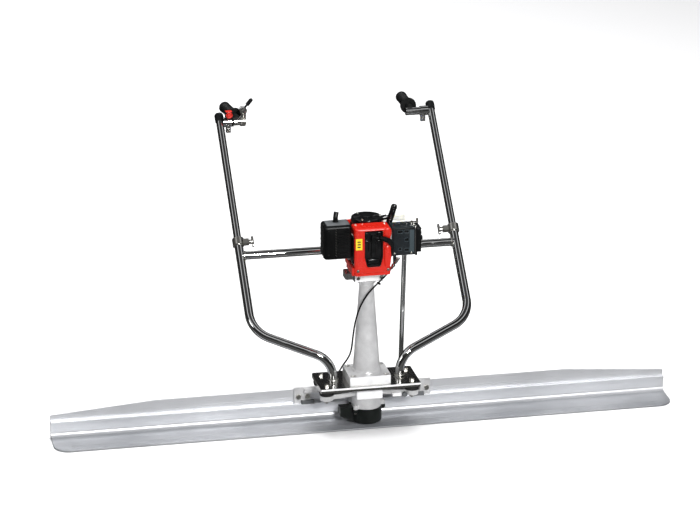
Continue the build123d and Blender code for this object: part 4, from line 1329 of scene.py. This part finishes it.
@dataclass
class Starter:
    """Recoil starter's trim and its handle's.

    Attributes:
        radius: The cap's radius.
        low: Bottom of the cap.
        high: Top of the cap.
        handle_low: Lower end of the handle's core.
        handle_high: Upper end of the handle's core.
        guide: Points of the rope guide.
        guide_radii: The guide's radius at each point.
        rope_exit: Where the rope leaves the guide.
        rope_way: Direction in which it leaves.
    """

    radius: float = 43.5
    low: float = 598.0
    high: float = 620.0
    handle_low: Point = (63.0, -6.0, 597.0)
    handle_high: Point = (78.0, -6.0, 645.0)
    guide: tuple[Point, ...] = (
        (36.0, -6.0, 611.4), (37.0, -6.0, 611.6), (45.0, -6.0, 613.0), (51.0, -6.0, 614.2),
        (52.5, -6.0, 614.4))
    guide_radii: tuple[float, ...] = (6.0, 8.6, 7.6, 6.2, 4.6)
    rope_exit: Point = (56.5, -6.0, 615.1)
    rope_way: Point = (0.98837, 0.0, 0.15206)

    def build(self) -> None:
        """Make the cap's trim, the rope guide and the handle's covering."""
        self._cap()
        self._guide()
        self._handle()

    def _cap(self) -> None:
        """Rim, ribs, boss and screws of the cap."""
        inner = self.radius - 2
        rim = Shaper("starter_rim")
        rim.lathe(((inner, 0.2), (self.radius + 2.6, 0.2), (self.radius + 3.2, 1.4), (self.radius + 2.6, 3.2),
                   (inner, 3.4)), (0.0, 0.0, self.low), sides=72)
        rim.finish(GLOSS_BLACK, "frame")
        Repeat("starter_ribs", Unit.BAR, Layout.CIRCLE, 18, size=(17.0, 1.6, 1.6),
               start=(0.0, 0.0, self.high + 0.1), radius=27.0).bake(GLOSS_BLACK, "frame")
        boss = Shaper("starter_boss")
        boss.lathe(((0, 0), (13.0, 0), (14.0, 0.8), (14.0, 1.6), (12.5, 2.4), (0, 2.6)),
                   (0.0, 0.0, self.high - 0.3))
        boss.finish(GLOSS_BLACK, "frame")
        Repeat("starter_side_ribs", Unit.BAR, Layout.CIRCLE, 30, size=(1.6, 2.0, 11.0),
               start=(0.0, 0.0, self.low + 11.0), radius=self.radius).bake(GLOSS_BLACK, "frame")
        Repeat("starter_screws", Unit.SCREW, Layout.CIRCLE, 3, size=(2.6, 0.0, 2.4),
               start=(0.0, 0.0, self.high), radius=38.5, sides=6).bake(ZINC, "frame")

    def _guide(self) -> None:
        """Thick moulded guide that the rope comes out of."""
        guide = Shaper("rope_guide")
        guide.tube(self.guide, self.guide_radii, sides=24)
        guide.finish(GLOSS_BLACK, "frame")

    def _handle(self) -> None:
        """Sleeve and beads of the handle, and the cone where the rope enters it."""
        low, high = Vector(self.handle_low), Vector(self.handle_high)
        lean = math.degrees(math.atan2(high.x - low.x, high.z - low.z))
        sleeve = Shaper("handle_sleeve")
        shares = (-0.13, -0.10, 0.0, 0.25, 0.5, 0.75, 1.0, 1.10, 1.13)
        sleeve.tube([tuple(low.lerp(high, share)) for share in shares],
                    (3.0, 7.0, 9.0, 8.4, 9.2, 8.4, 9.0, 7.0, 3.0), sides=24)
        sleeve.finish(GLOSS_BLACK, "starter_grip")
        Repeat("handle_beads", Unit.HOOP, Layout.LINE, 7, size=(8.6, 0.8, 0.0),
               start=tuple(low.lerp(high, 0.08)),
               step=tuple((high - low) * 0.14), unit_turn=(0.0, lean, 0.0)).bake(GLOSS_BLACK, "starter_grip")
        cone = Shaper("handle_cone")
        cone.lathe(((2.6, 0), (4.6, 2), (5.4, 6), (6.6, 11), (6.8, 13)), self.rope_exit, self.rope_way, 24)
        cone.finish(GLOSS_BLACK, "starter_grip")


@dataclass
class Exhaust:
    """Silencer's louvres, seams and shield.

    Attributes:
        low: Lowest corner of its box.
        high: Highest corner of its box.
        louvres: How many louvres.
        pitch: From one louvre to the next.
        seam: Y of the seam round the box.
        stub: Place of the hoop on the outlet.
    """

    low: Point = (-137.0, -82.0, 523.0)
    high: Point = (-57.5, -18.0, 622.0)
    louvres: int = 11
    pitch: float = 7.6
    seam: float = -64.0
    stub: Point = (-98.0, -44.0, 624.5)

    def build(self) -> None:
        """Make every detail of the silencer."""
        self._louvres()
        self._shell()
        front = self.low[1]
        face_screws("silencer_bolts", (-124.0, front - 0.4, 536.0), (0.0, 0.0, 70.0), (3.6, 3.2), ENAMEL)
        Repeat("outlet_hoops", Unit.HOOP, Layout.LINE, 1, size=(7.4, 1.4, 0.0),
               start=self.stub).bake(ENAMEL, "frame")

    def _louvres(self) -> None:
        """Slanting louvres on the front, zinc wedges at their left ends as painted highlights, and ribs on
        the left side.
        """
        front = self.low[1]
        Repeat("silencer_louvres", Unit.BAR, Layout.LINE, self.louvres, size=(36.0, 4.4, 1.1),
               start=(-85.0, front - 1.1, 538.5), step=(0.0, 0.0, self.pitch),
               unit_turn=(-38.0, 0.0, 0.0)).bake(ENAMEL, "frame")
        # Painted highlights: bright zinc wedges stand for the glints on the black louvres' left ends.
        Repeat("silencer_louvre_ends", Unit.BAR, Layout.LINE, self.louvres, size=(4.6, 2.6, 1.0),
               start=(-104.0, front - 0.8, 537.0), step=(0.0, 0.0, self.pitch),
               unit_turn=(0.0, 40.0, 0.0)).bake(ZINC, "frame")
        Repeat("silencer_side_ribs", Unit.BAR, Layout.LINE, 5, size=(2.2, 48.0, 2.4),
               start=(self.low[0] + 0.2, -50.0, 541.0), step=(0.0, 0.0, 15.5)).bake(ENAMEL, "frame")

    def _shell(self) -> None:
        """Heat shield on top, gasket to the cylinder, and the rolled seam."""
        (left, front, bottom), (right, back, top) = self.low, self.high
        shield = Shaper("silencer_shield")
        shield.box((left + 9, front + 8, top - 0.4), (right - 6, back - 8, top + 1.2), 1.0)
        shield.finish(DARK_STEEL, "frame")
        gasket = Shaper("exhaust_gasket")
        gasket.box((right + 0.2, -88.0, 512.0), (-54.2, -14.0, 590.0), 1.0)
        gasket.finish(ENAMEL, "frame")
        seam = Shaper("silencer_seam")
        outline = rounded_rectangle((left, bottom), (right, top), 9.0)
        seam.tube([(x, self.seam, z) for x, z in outline], 1.0, closed=True, sides=8)
        seam.finish(ENAMEL, "frame")


@dataclass
class AirCleaner:
    """Lid, panel, strap and clips of the air cleaner.

    Attributes:
        low: Lowest corner of its case.
        high: Highest corner of its case.
        slots: X, Z and width of each intake slot in the front.
        slot_half: Half a slot's height.
        clip_turns: X and Z from the case's upper left edge of the wire clip's bends.
        loop_turns: The same for the smaller loop.
        knob: Distance from the case to the cover's knob.
    """

    low: Point = (58.0, -76.0, 521.0)
    high: Point = (124.0, -22.0, 605.0)
    slots: tuple[Point, ...] = ((80.0, 592.0, 15.0), (98.0, 592.0, 12.0), (99.0, 568.0, 12.0),
                                (99.0, 538.0, 12.0), (80.0, 541.0, 8.0))
    slot_half: float = 4.0
    clip_turns: tuple[Pair, ...] = ((6, -1), (8, 5), (16, 7.5), (24, 5), (30, -1))
    loop_turns: tuple[Pair, ...] = ((34, -1), (37, 6), (43, 6), (46, -1))
    knob: float = 18.4

    def build(self) -> None:
        """Make every detail of the air cleaner."""
        self._case()
        self._slots()
        self._fittings()

    def _case(self) -> None:
        """Lid's edge, side panel and the bright strap round the case."""
        (x0, y0, z0), (x1, y1, z1) = self.low, self.high
        lid = Shaper("cleaner_lid")
        lid.box((x0 - 0.6, y0 - 0.8, z1 - 6.0), (x1 + 0.3, y1 + 0.8, z1 - 3.2), 1.0)
        lid.finish(BLACK_PLASTIC, "frame")
        panel = Shaper("cleaner_panel")
        panel.box((x1 - 17.0, y0 - 1.0, z0 + 9.0), (x1 - 4.0, y0 + 0.4, z1 - 9.0), 1.0)
        panel.finish(PANEL_GREY, "frame")
        strap = Shaper("cleaner_strap")
        strap.box((x1 - 2.2, y0 - 1.2, z0 + 2.0), (x1 + 0.4, y0 + 0.2, z1 - 2.0), 0.5, 2)
        strap.box((x1 - 2.2, y0 - 0.6, z1 - 0.3), (x1 + 0.4, y1 + 0.4, z1 + 1.0), 0.5, 2)
        strap.finish(PLATE_CHROME, "frame")

    def _slots(self) -> None:
        """Black blocks behind the intake slots, painted shade in the openings, and lighter rims round them.
        """
        front = self.low[1]
        inset, border = 0.2, 0.6
        slot_shade, rims = Shaper("intake_slot_shade"), Shaper("intake_rims")
        for x, z, width in self.slots:
            half, rise = width / 2 - inset, self.slot_half - inset
            # Painted shade: a black block behind each slot makes the opening read dark.
            slot_shade.box((x - half, front + 2.4, z - rise), (x + half, front + 4.6, z + rise), 0.6, 2)
            half, rise = width / 2 + border, self.slot_half + border
            outline = rounded_rectangle((x - half, z - rise), (x + half, z + rise), 3.0)
            rims.tube([(px, front - 0.2, pz) for px, pz in outline], 0.8, closed=True, sides=8)
        slot_shade.finish(BLACK_PLASTIC, "frame")
        rims.finish(PANEL_GREY, "frame")

    def _fittings(self) -> None:
        """Screws, wire clips on the roof and the cover's knob."""
        (x0, y0, z0), (x1, _, z1) = self.low, self.high
        face_screws("cleaner_screws", (x0 + 6.0, y0 - 0.6, z0 + 7.0), (48.0, 0.0, 0.0), (2.4, 2.2), ZINC)
        clips = Shaper("cleaner_clips")
        for turns, back, radius in ((self.clip_turns, 16, 1.2), (self.loop_turns, 22, 1.4)):
            clips.tube([(x0 + x, y0 + back, z1 + z) for x, z in turns], radius, sides=8)
        clips.finish(PLATE_CHROME, "frame")
        knob = Shaper("cleaner_knob")
        knob.lathe(((0, 0), (5.5, 0), (7.0, 1.5), (7.0, 5.5), (5.8, 7.0), (0, 7.2)),
                   (x1 + self.knob, -50.0, 563.0), (1.0, 0.0, 0.0), 24)
        knob.finish(BLACK_PLASTIC, "frame")


@dataclass
class FuelTank:
    """Moulding seam of the tank.

    Attributes:
        low: Lowest corner of the tank, seen from above.
        high: Highest corner of the tank, seen from above.
        seam: Height of the seam.
    """

    low: Pair = (58.0, 10.0)
    high: Pair = (128.0, 78.0)
    seam: float = 552.0

    def build(self) -> None:
        """Make the parting flange."""
        seam = Shaper("tank_seam")
        outline = rounded_rectangle(self.low, self.high, 12.0)
        seam.tube([(x, y, self.seam) for x, y in outline], 1.3, closed=True, sides=8)
        seam.finish(TANK, "frame")


@dataclass
class Drive:
    """Front facings painted bright as light, and fasteners between the plate and the engine.

    Attributes:
        facings: Lowest and highest corner, and edge radius, of each thin facing painted near white as light
            on a front face: the column's flange, the exciter's block, the clutch housing's band and the
                plate's front edge.
        cone: Radius and height of the column at its foot, middle and neck.
        damper: X, Y and height of the front washer on a rubber damper.
        damper_step: From the front damper to the back one.
    """

    facings: tuple[tuple[Point, Point, float], ...] = (
        ((-58.8, -58.7, 135.0), (58.8, -57.0, 159.0), 0.5),
        ((-37.0, -49.7, 88.2), (37.0, -48.0, 113.0), 0.5),
        ((-42.0, -45.8, 441.0), (42.0, -44.0, 461.0), 0.5),
        ((-144.0, -70.5, 128.5), (144.0, -69.0, 133.6), 0.4))
    cone: tuple[Pair, ...] = ((39.0, 162.0), (30.0, 290.0), (20.2, 420.0))
    damper: Point = (124.0, -43.0, 121.2)
    damper_step: float = 86.0

    def build(self) -> None:
        """Make the facings painted bright as light, the parting lines, the bolts and the damper plates."""
        # Thin slabs on front faces only, painted near white to stand for light falling on them.
        facings = Shaper("painted_light_facings")
        for low, high, radius in self.facings:
            facings.box(low, high, radius, 2)
        facings.finish(PAINTED_LIGHT_FACE, "frame")
        self._column()
        for side, name in ((-1, "left"), (1, "right")):
            self._dampers(side, name)
        # The arm's pad also wears the painted-light facing finish.
        pad = Shaper("arm_pad")
        pad.box((66.0, -52.0, 90.0), (92.0, -36.0, 101.0), 1.5)
        pad.finish(PAINTED_LIGHT_FACE, "frame")
        plug = Shaper("arm_plug")
        plug.lathe(((0, 0), (6.5, 0), (7.5, 1.5), (7.5, 6), (6, 8), (0, 8)), (101.0, -50.0, 96.0),
                   (0.0, -1.0, 0.0), 24)
        plug.finish(DARK_STEEL, "frame")
        face_screws("case_bolts", (-33.0, -46.2, 451.0), (66.0, 0.0, 0.0), (3.4, 3.0), ZINC)

    def _column(self) -> None:
        """Parting lines on both sides of the column, and the bead round its foot."""
        seams = Shaper("column_parting_lines")
        for side in (-1, 1):
            seams.tube([(side * radius, 0.0, z) for radius, z in self.cone], 0.9, sides=8)
        seams.finish(CAST, "frame")
        Repeat("column_foot_bead", Unit.HOOP, Layout.LINE, 1, size=(39.5, 2.6, 0.0), start=(0.0, 0.0, 160.8),
               sides=64).bake(CAST, "frame")

    def _dampers(self, side: int, name: str) -> None:
        """Washers and rubber rings of the two dampers on one side.

        Args:
            side: -1 for the left, 1 for the right.
            name: Name of the side.
        """
        x, y, z = self.damper
        step = (0.0, self.damper_step, 0.0)
        Repeat("damper_washers_" + name, Unit.STUD, Layout.LINE, 2, size=(21.0, 0.0, 1.6),
               start=(side * x, y, z), step=step, sides=36).bake(ZINC, "frame")
        Repeat("damper_rings_" + name, Unit.HOOP, Layout.LINE, 2, size=(18.8, 2.6, 0.0),
               start=(side * x, y, z - 6.2), step=step, sides=36).bake(RUBBER, "frame")


@dataclass
class Handle:
    """Caps, weld beads and screws of the handle frame.

    Attributes:
        corner: Where each tube turns up.
        lean: Upright's lean from the vertical, in degrees.
        top: Distance from the corner to the top of the upper tube.
        cross_tube: Distance from the corner to the cross tube.
        crossbar: Distance from the corner to the crossbar.
    """

    corner: Point = (318.0, 66.0, 273.0)
    lean: float = 47.0
    top: float = 720.0
    cross_tube: float = 692.0
    crossbar: float = 246.0

    def up(self, distance: float, x: float) -> Point:
        """Point on an upright's axis.

        Args:
            distance: Distance up from the corner.
            x: X of the point.

        Returns:
            The point.
        """
        lean = math.radians(self.lean)
        return (x, self.corner[1] + distance * math.sin(lean), self.corner[2] + distance * math.cos(lean))

    def build(self) -> None:
        """Make the details of both sides."""
        for side, name in ((-1, "left"), (1, "right")):
            self._cap(side, name)
            self._pinch_screw(side, name)
            self._weld(side, name)
            Repeat("stub_bead_" + name, Unit.HOOP, Layout.LINE, 1, size=(15.2, 1.5, 0.0),
                   start=(side * 97.0, 0.0, 138.2), sides=40).bake(ZINC, "frame")

    def _cap(self, side: int, name: str) -> None:
        """Plastic cap on the upper tube, with three beads.

        Args:
            side: -1 for the left, 1 for the right.
            name: Name of the side.
        """
        lean = math.radians(self.lean)
        along = (0.0, math.sin(lean), math.cos(lean))
        x = side * self.corner[0]
        cap = Shaper("tube_cap_" + name)
        cap.lathe(((11.2, -27.0), (12.6, -26.5), (12.9, -25.0), (12.9, -3.0), (11.5, -0.4), (8.0, 0.0)),
                  self.up(self.top, x), along, 36)
        cap.finish(BLACK_PLASTIC, "upper_" + name)
        Repeat("tube_cap_hoops_" + name, Unit.HOOP, Layout.LINE, 3, size=(12.9, 0.55, 0.0),
               start=self.up(self.top - 15.0, x), step=tuple(4.5 * part for part in along),
               unit_turn=(-self.lean, 0.0, 0.0), sides=36).bake(BLACK_PLASTIC, "upper_" + name)

    def _pinch_screw(self, side: int, name: str) -> None:
        """Screw through the sleeve's lugs.

        Args:
            side: -1 for the left, 1 for the right.
            name: Name of the side.
        """
        x, y, z = self.up(self.cross_tube, side * 293.0)
        drop, reach = 24.0, 12.0
        screw = Shaper("pinch_screw_" + name)
        screw.tube([(x, y - reach, z - drop), (x, y + reach, z - drop)], 2.6)
        screw.lathe(((0, 0), (4.6, 0), (5.0, 0.6), (5.0, 4.0), (4.2, 4.6), (0, 4.6)), (x, y - 7.2, z - drop),
                    (0.0, -1.0, 0.0), 6)
        screw.finish(ZINC, "upper_" + name)

    def _weld(self, side: int, name: str) -> None:
        """Weld bead where the crossbar meets the lower tube.

        Args:
            side: -1 for the left, 1 for the right.
            name: Name of the side.
        """
        x, y, z = self.up(self.crossbar, side * 303.6)
        radius, saddle, ripples = 12.6, 1.8, 9
        turns = angles(60)
        points = [(x + side * saddle * abs(math.cos(turn)), y + radius * math.cos(turn),
                   z + radius * math.sin(turn)) for turn in turns]
        bead = Shaper("crossbar_weld_" + name)
        bead.tube(points, [1.5 + 0.35 * math.sin(ripples * turn) for turn in turns], closed=True, sides=8)
        bead.finish(ZINC, "frame")


@dataclass
class Grips:
    """Ribs of the rubber grips, with the controls on the left one.

    Attributes:
        centre: Y and Z of the cross tubes' axis.
        rise: From that axis up to a grip's axis.
        radius: A grip's radius.
        ribs: How many ribs a grip has.
        places: Name, X and turn in degrees of the left and right grip.
        lever: X of the thumb lever's pivot.
        button: X of the stop button.
    """

    centre: Pair = (572.0969, 744.9429)
    rise: float = 11.0
    radius: float = 15.5
    ribs: int = 13
    places: tuple[tuple[str, float, float], ...] = (("left", -267.0, 8.0), ("right", 254.0, 0.0))
    lever: float = -249.0
    button: float = -292.0

    def build(self) -> None:
        """Make the ribs and the controls."""
        for name, x, turn in self.places:
            self._grip(name, x, turn)
        self._lever()
        self._switch()

    def _grip(self, name: str, x: float, turn: float) -> None:
        """Ribs and flared end of one grip.

        Args:
            name: Name of the side.
            x: X of the grip's foot.
            turn: Its turn about the vertical, in degrees.
        """
        angle = math.radians(turn)
        along = Vector((-math.sin(angle), math.cos(angle), 0.0))
        foot = Vector((x, self.centre[0], self.centre[1] + self.rise))
        Repeat("grip_ribs_" + name, Unit.HOOP, Layout.LINE, self.ribs, size=(self.radius, 1.0, 0.0),
               start=tuple(foot + along * 36.0), step=tuple(along * 6.2), unit_turn=(90.0, 0.0, turn),
               sides=36).bake(GRIP_RUBBER, "grip_bar_" + name)
        tip = Shaper("grip_tip_" + name)
        tip.lathe(((15.4, -4.0), (17.0, -2.5), (17.4, 0.0), (16.5, 3.0), (12.0, 7.0), (5.0, 8.2), (0, 8.3)),
                  tuple(foot + along * 118.0), tuple(along), 36)
        tip.finish(GRIP_RUBBER, "grip_bar_" + name)

    def _lever(self) -> None:
        """Ribs on the lever's tip, its pivot cap and its spring."""
        x, y, z = self.lever, self.centre[0] + 4.0, self.centre[1] + 33.0
        low, high = Vector((x + 13, y, z + 15)), Vector((x + 25, y, z + 29))
        lean = math.degrees(math.atan2(high.x - low.x, high.z - low.z))
        Repeat("lever_ribs", Unit.HOOP, Layout.LINE, 6, size=(5.5, 0.8, 0.0),
               start=tuple(low.lerp(high, 0.1)),
               step=tuple((high - low) * 0.17), unit_turn=(0.0, lean, 0.0)).bake(BLACK_PLASTIC, "lever")
        housing = Shaper("lever_housing")
        housing.lathe(((0, 0), (9.6, 0), (10.8, 1.0), (11.2, 3.0), (11.2, 7.0), (10.0, 8.6), (4.5, 9.4),
                       (4.0, 11.0), (0, 11.2)), (x, y - 4.6, z), (0.0, -1.0, 0.0), 36)
        housing.box((x - 8.0, y - 13.5, z - 22.0), (x + 8.0, y - 5.6, z - 4.0), 2.5)
        housing.tube([(x - 6.0, y - 9.0, z - 18.0), (x - 12.0, y - 9.5, z - 22.0),
                      (x - 17.0, y - 9.0, z - 27.0)],
                     [3.6, 3.4, 2.8], sides=14)
        housing.finish(PLATE_CHROME, "grip_bar_left")
        face_screws("lever_screws", (x, y - 13.8, z - 9.0), (0.0, 0.0, -8.0), (2.2, 2.2), ZINC,
                    "grip_bar_left")
        coil, rise, rounds = 9.6, 0.09, 5
        spring = Shaper("lever_spring")
        spring.tube([(x + coil * math.cos(turn), y + 5.2 + turn * rise, z + coil * math.sin(turn))
                     for turn in angles(12 * rounds + 1, 12)], 0.7, sides=6)
        spring.finish(ZINC, "grip_bar_left")

    def _switch(self) -> None:
        """Red collar round the stop button, and the strip on its band."""
        x, y, z = self.button, self.centre[0] - 14.0, self.centre[1] + 24.0
        collar = Shaper("switch_collar")
        collar.tube([(x + 8.3 * math.cos(turn), y - 0.6, z + 7.6 * math.sin(turn)) for turn in angles(36)],
                    1.7, closed=True, sides=10)
        collar.box((x - 9.6, y + 2.0, z + 8.0), (x + 9.6, y + 20.0, z + 10.6), 1.2)
        collar.finish(BUTTON_RED, "grip_bar_left")


@dataclass
class CableFittings:
    """Ferrule, spring and tie on the throttle cable.

    Attributes:
        end: The cable's upper end.
        before: Point of the cable below its end.
        tie: Place of the tie.
        lay: Direction of the cable at the tie.
    """

    end: Point = (66.0, -68.0, 497.0)
    before: Point = (48.0, -58.0, 463.0)
    tie: Point = (24.0, -47.5, 434.0)
    lay: Point = (26.0, -10.0, 29.0)

    def build(self) -> None:
        """Make the fittings."""
        end = Vector(self.end)
        along = (end - Vector(self.before)).normalized()
        ferrule = Shaper("cable_ferrule")
        ferrule.lathe(((2.6, -20.0), (4.2, -19.0), (4.2, -10.0), (5.4, -9.5), (5.4, -4.0), (3.2, -3.5),
                       (3.2, 2.0),
                       (5.0, 2.4), (5.0, 6.5), (2.4, 7.0), (2.4, 16.0)), tuple(end), tuple(along), 24)
        ferrule.finish(PLATE_CHROME, "frame")
        rounds = 7
        spring = Shaper("cable_spring")
        spring.tube([tuple(end + along * (6.0 + turn * 0.36) + self._across(along, turn) * 5.0)
                     for turn in angles(12 * rounds + 1, 12)], 0.75, sides=6)
        spring.finish(ZINC, "frame")
        middle = Vector(self.tie)
        lay = Vector(self.lay).normalized()
        tie = Shaper("cable_tie")
        tie.tube([tuple(middle + self._across(lay, turn) * 4.2) for turn in angles(24)], 1.1, closed=True,
                 sides=8)
        tie.box(tuple(middle + Vector((1.0, -8.0, -2.5))), tuple(middle + Vector((5.5, -3.5, 2.5))), 0.6, 2)
        tie.finish(BLACK_PLASTIC, "frame")

    @staticmethod
    def _across(along: Vector, turn: float) -> Vector:
        """Unit vector square to a direction.

        Args:
            along: The direction.
            turn: Angle about it, in radians.

        Returns:
            The vector.
        """
        side = along.orthogonal().normalized()
        return side * math.cos(turn) + along.cross(side) * math.sin(turn)


@dataclass
class Stand:
    """Treads of the kickstand's foot.

    Attributes:
        foot: Place of the lowest tread.
        lean: Lean of the leg, in degrees.
    """

    foot: Point = (166.0, 295.4, 11.0)
    lean: float = 9.0

    def build(self) -> None:
        """Make the treads."""
        Repeat("foot_treads", Unit.HOOP, Layout.LINE, 4, size=(10.0, 0.7, 0.0), start=self.foot,
               step=(0.0, -0.9, 5.6), unit_turn=(self.lean, 0.0, 0.0), sides=28).bake(RUBBER, "stand")


@dataclass
class BladeTrim:
    """Extruded ridges along the blade.

    Attributes:
        length: Length of the ridges on the foot.
        fin_share: Share of that length that the fin's ridges have.
    """

    length: float = 1700.0
    fin_share: float = 0.68

    def build(self) -> None:
        """Make the ridges on the foot and on the fin."""
        Repeat("foot_ridges", Unit.BAR, Layout.LINE, 3, size=(self.length, 1.6, 0.8), start=(0.0, -48.0, 5.1),
               step=(0.0, 9.0, 0.0)).bake(BLADE, "frame")
        Repeat("fin_ridges", Unit.BAR, Layout.LINE, 2, size=(self.length * self.fin_share, 0.8, 1.4),
               start=(0.0, 58.9, 60.0), step=(0.0, 0.0, 6.0)).bake(BLADE, "frame")


def main() -> None:
    """Build everything in order."""
    logging.basicConfig(level=logging.INFO, format="%(name)s: %(message)s")
    Studio().build()
    build_cords()
    dress_nodes()
    for assembly in (BladeTrim(), Drive(), Cowl(), Starter(), Exhaust(), AirCleaner(), FuelTank(),
                     CableFittings(), Handle(), Grips(), Stand()):
        assembly.build()
        log.info("%s done", type(assembly).__name__)


if __name__ == "__main__":
    main()
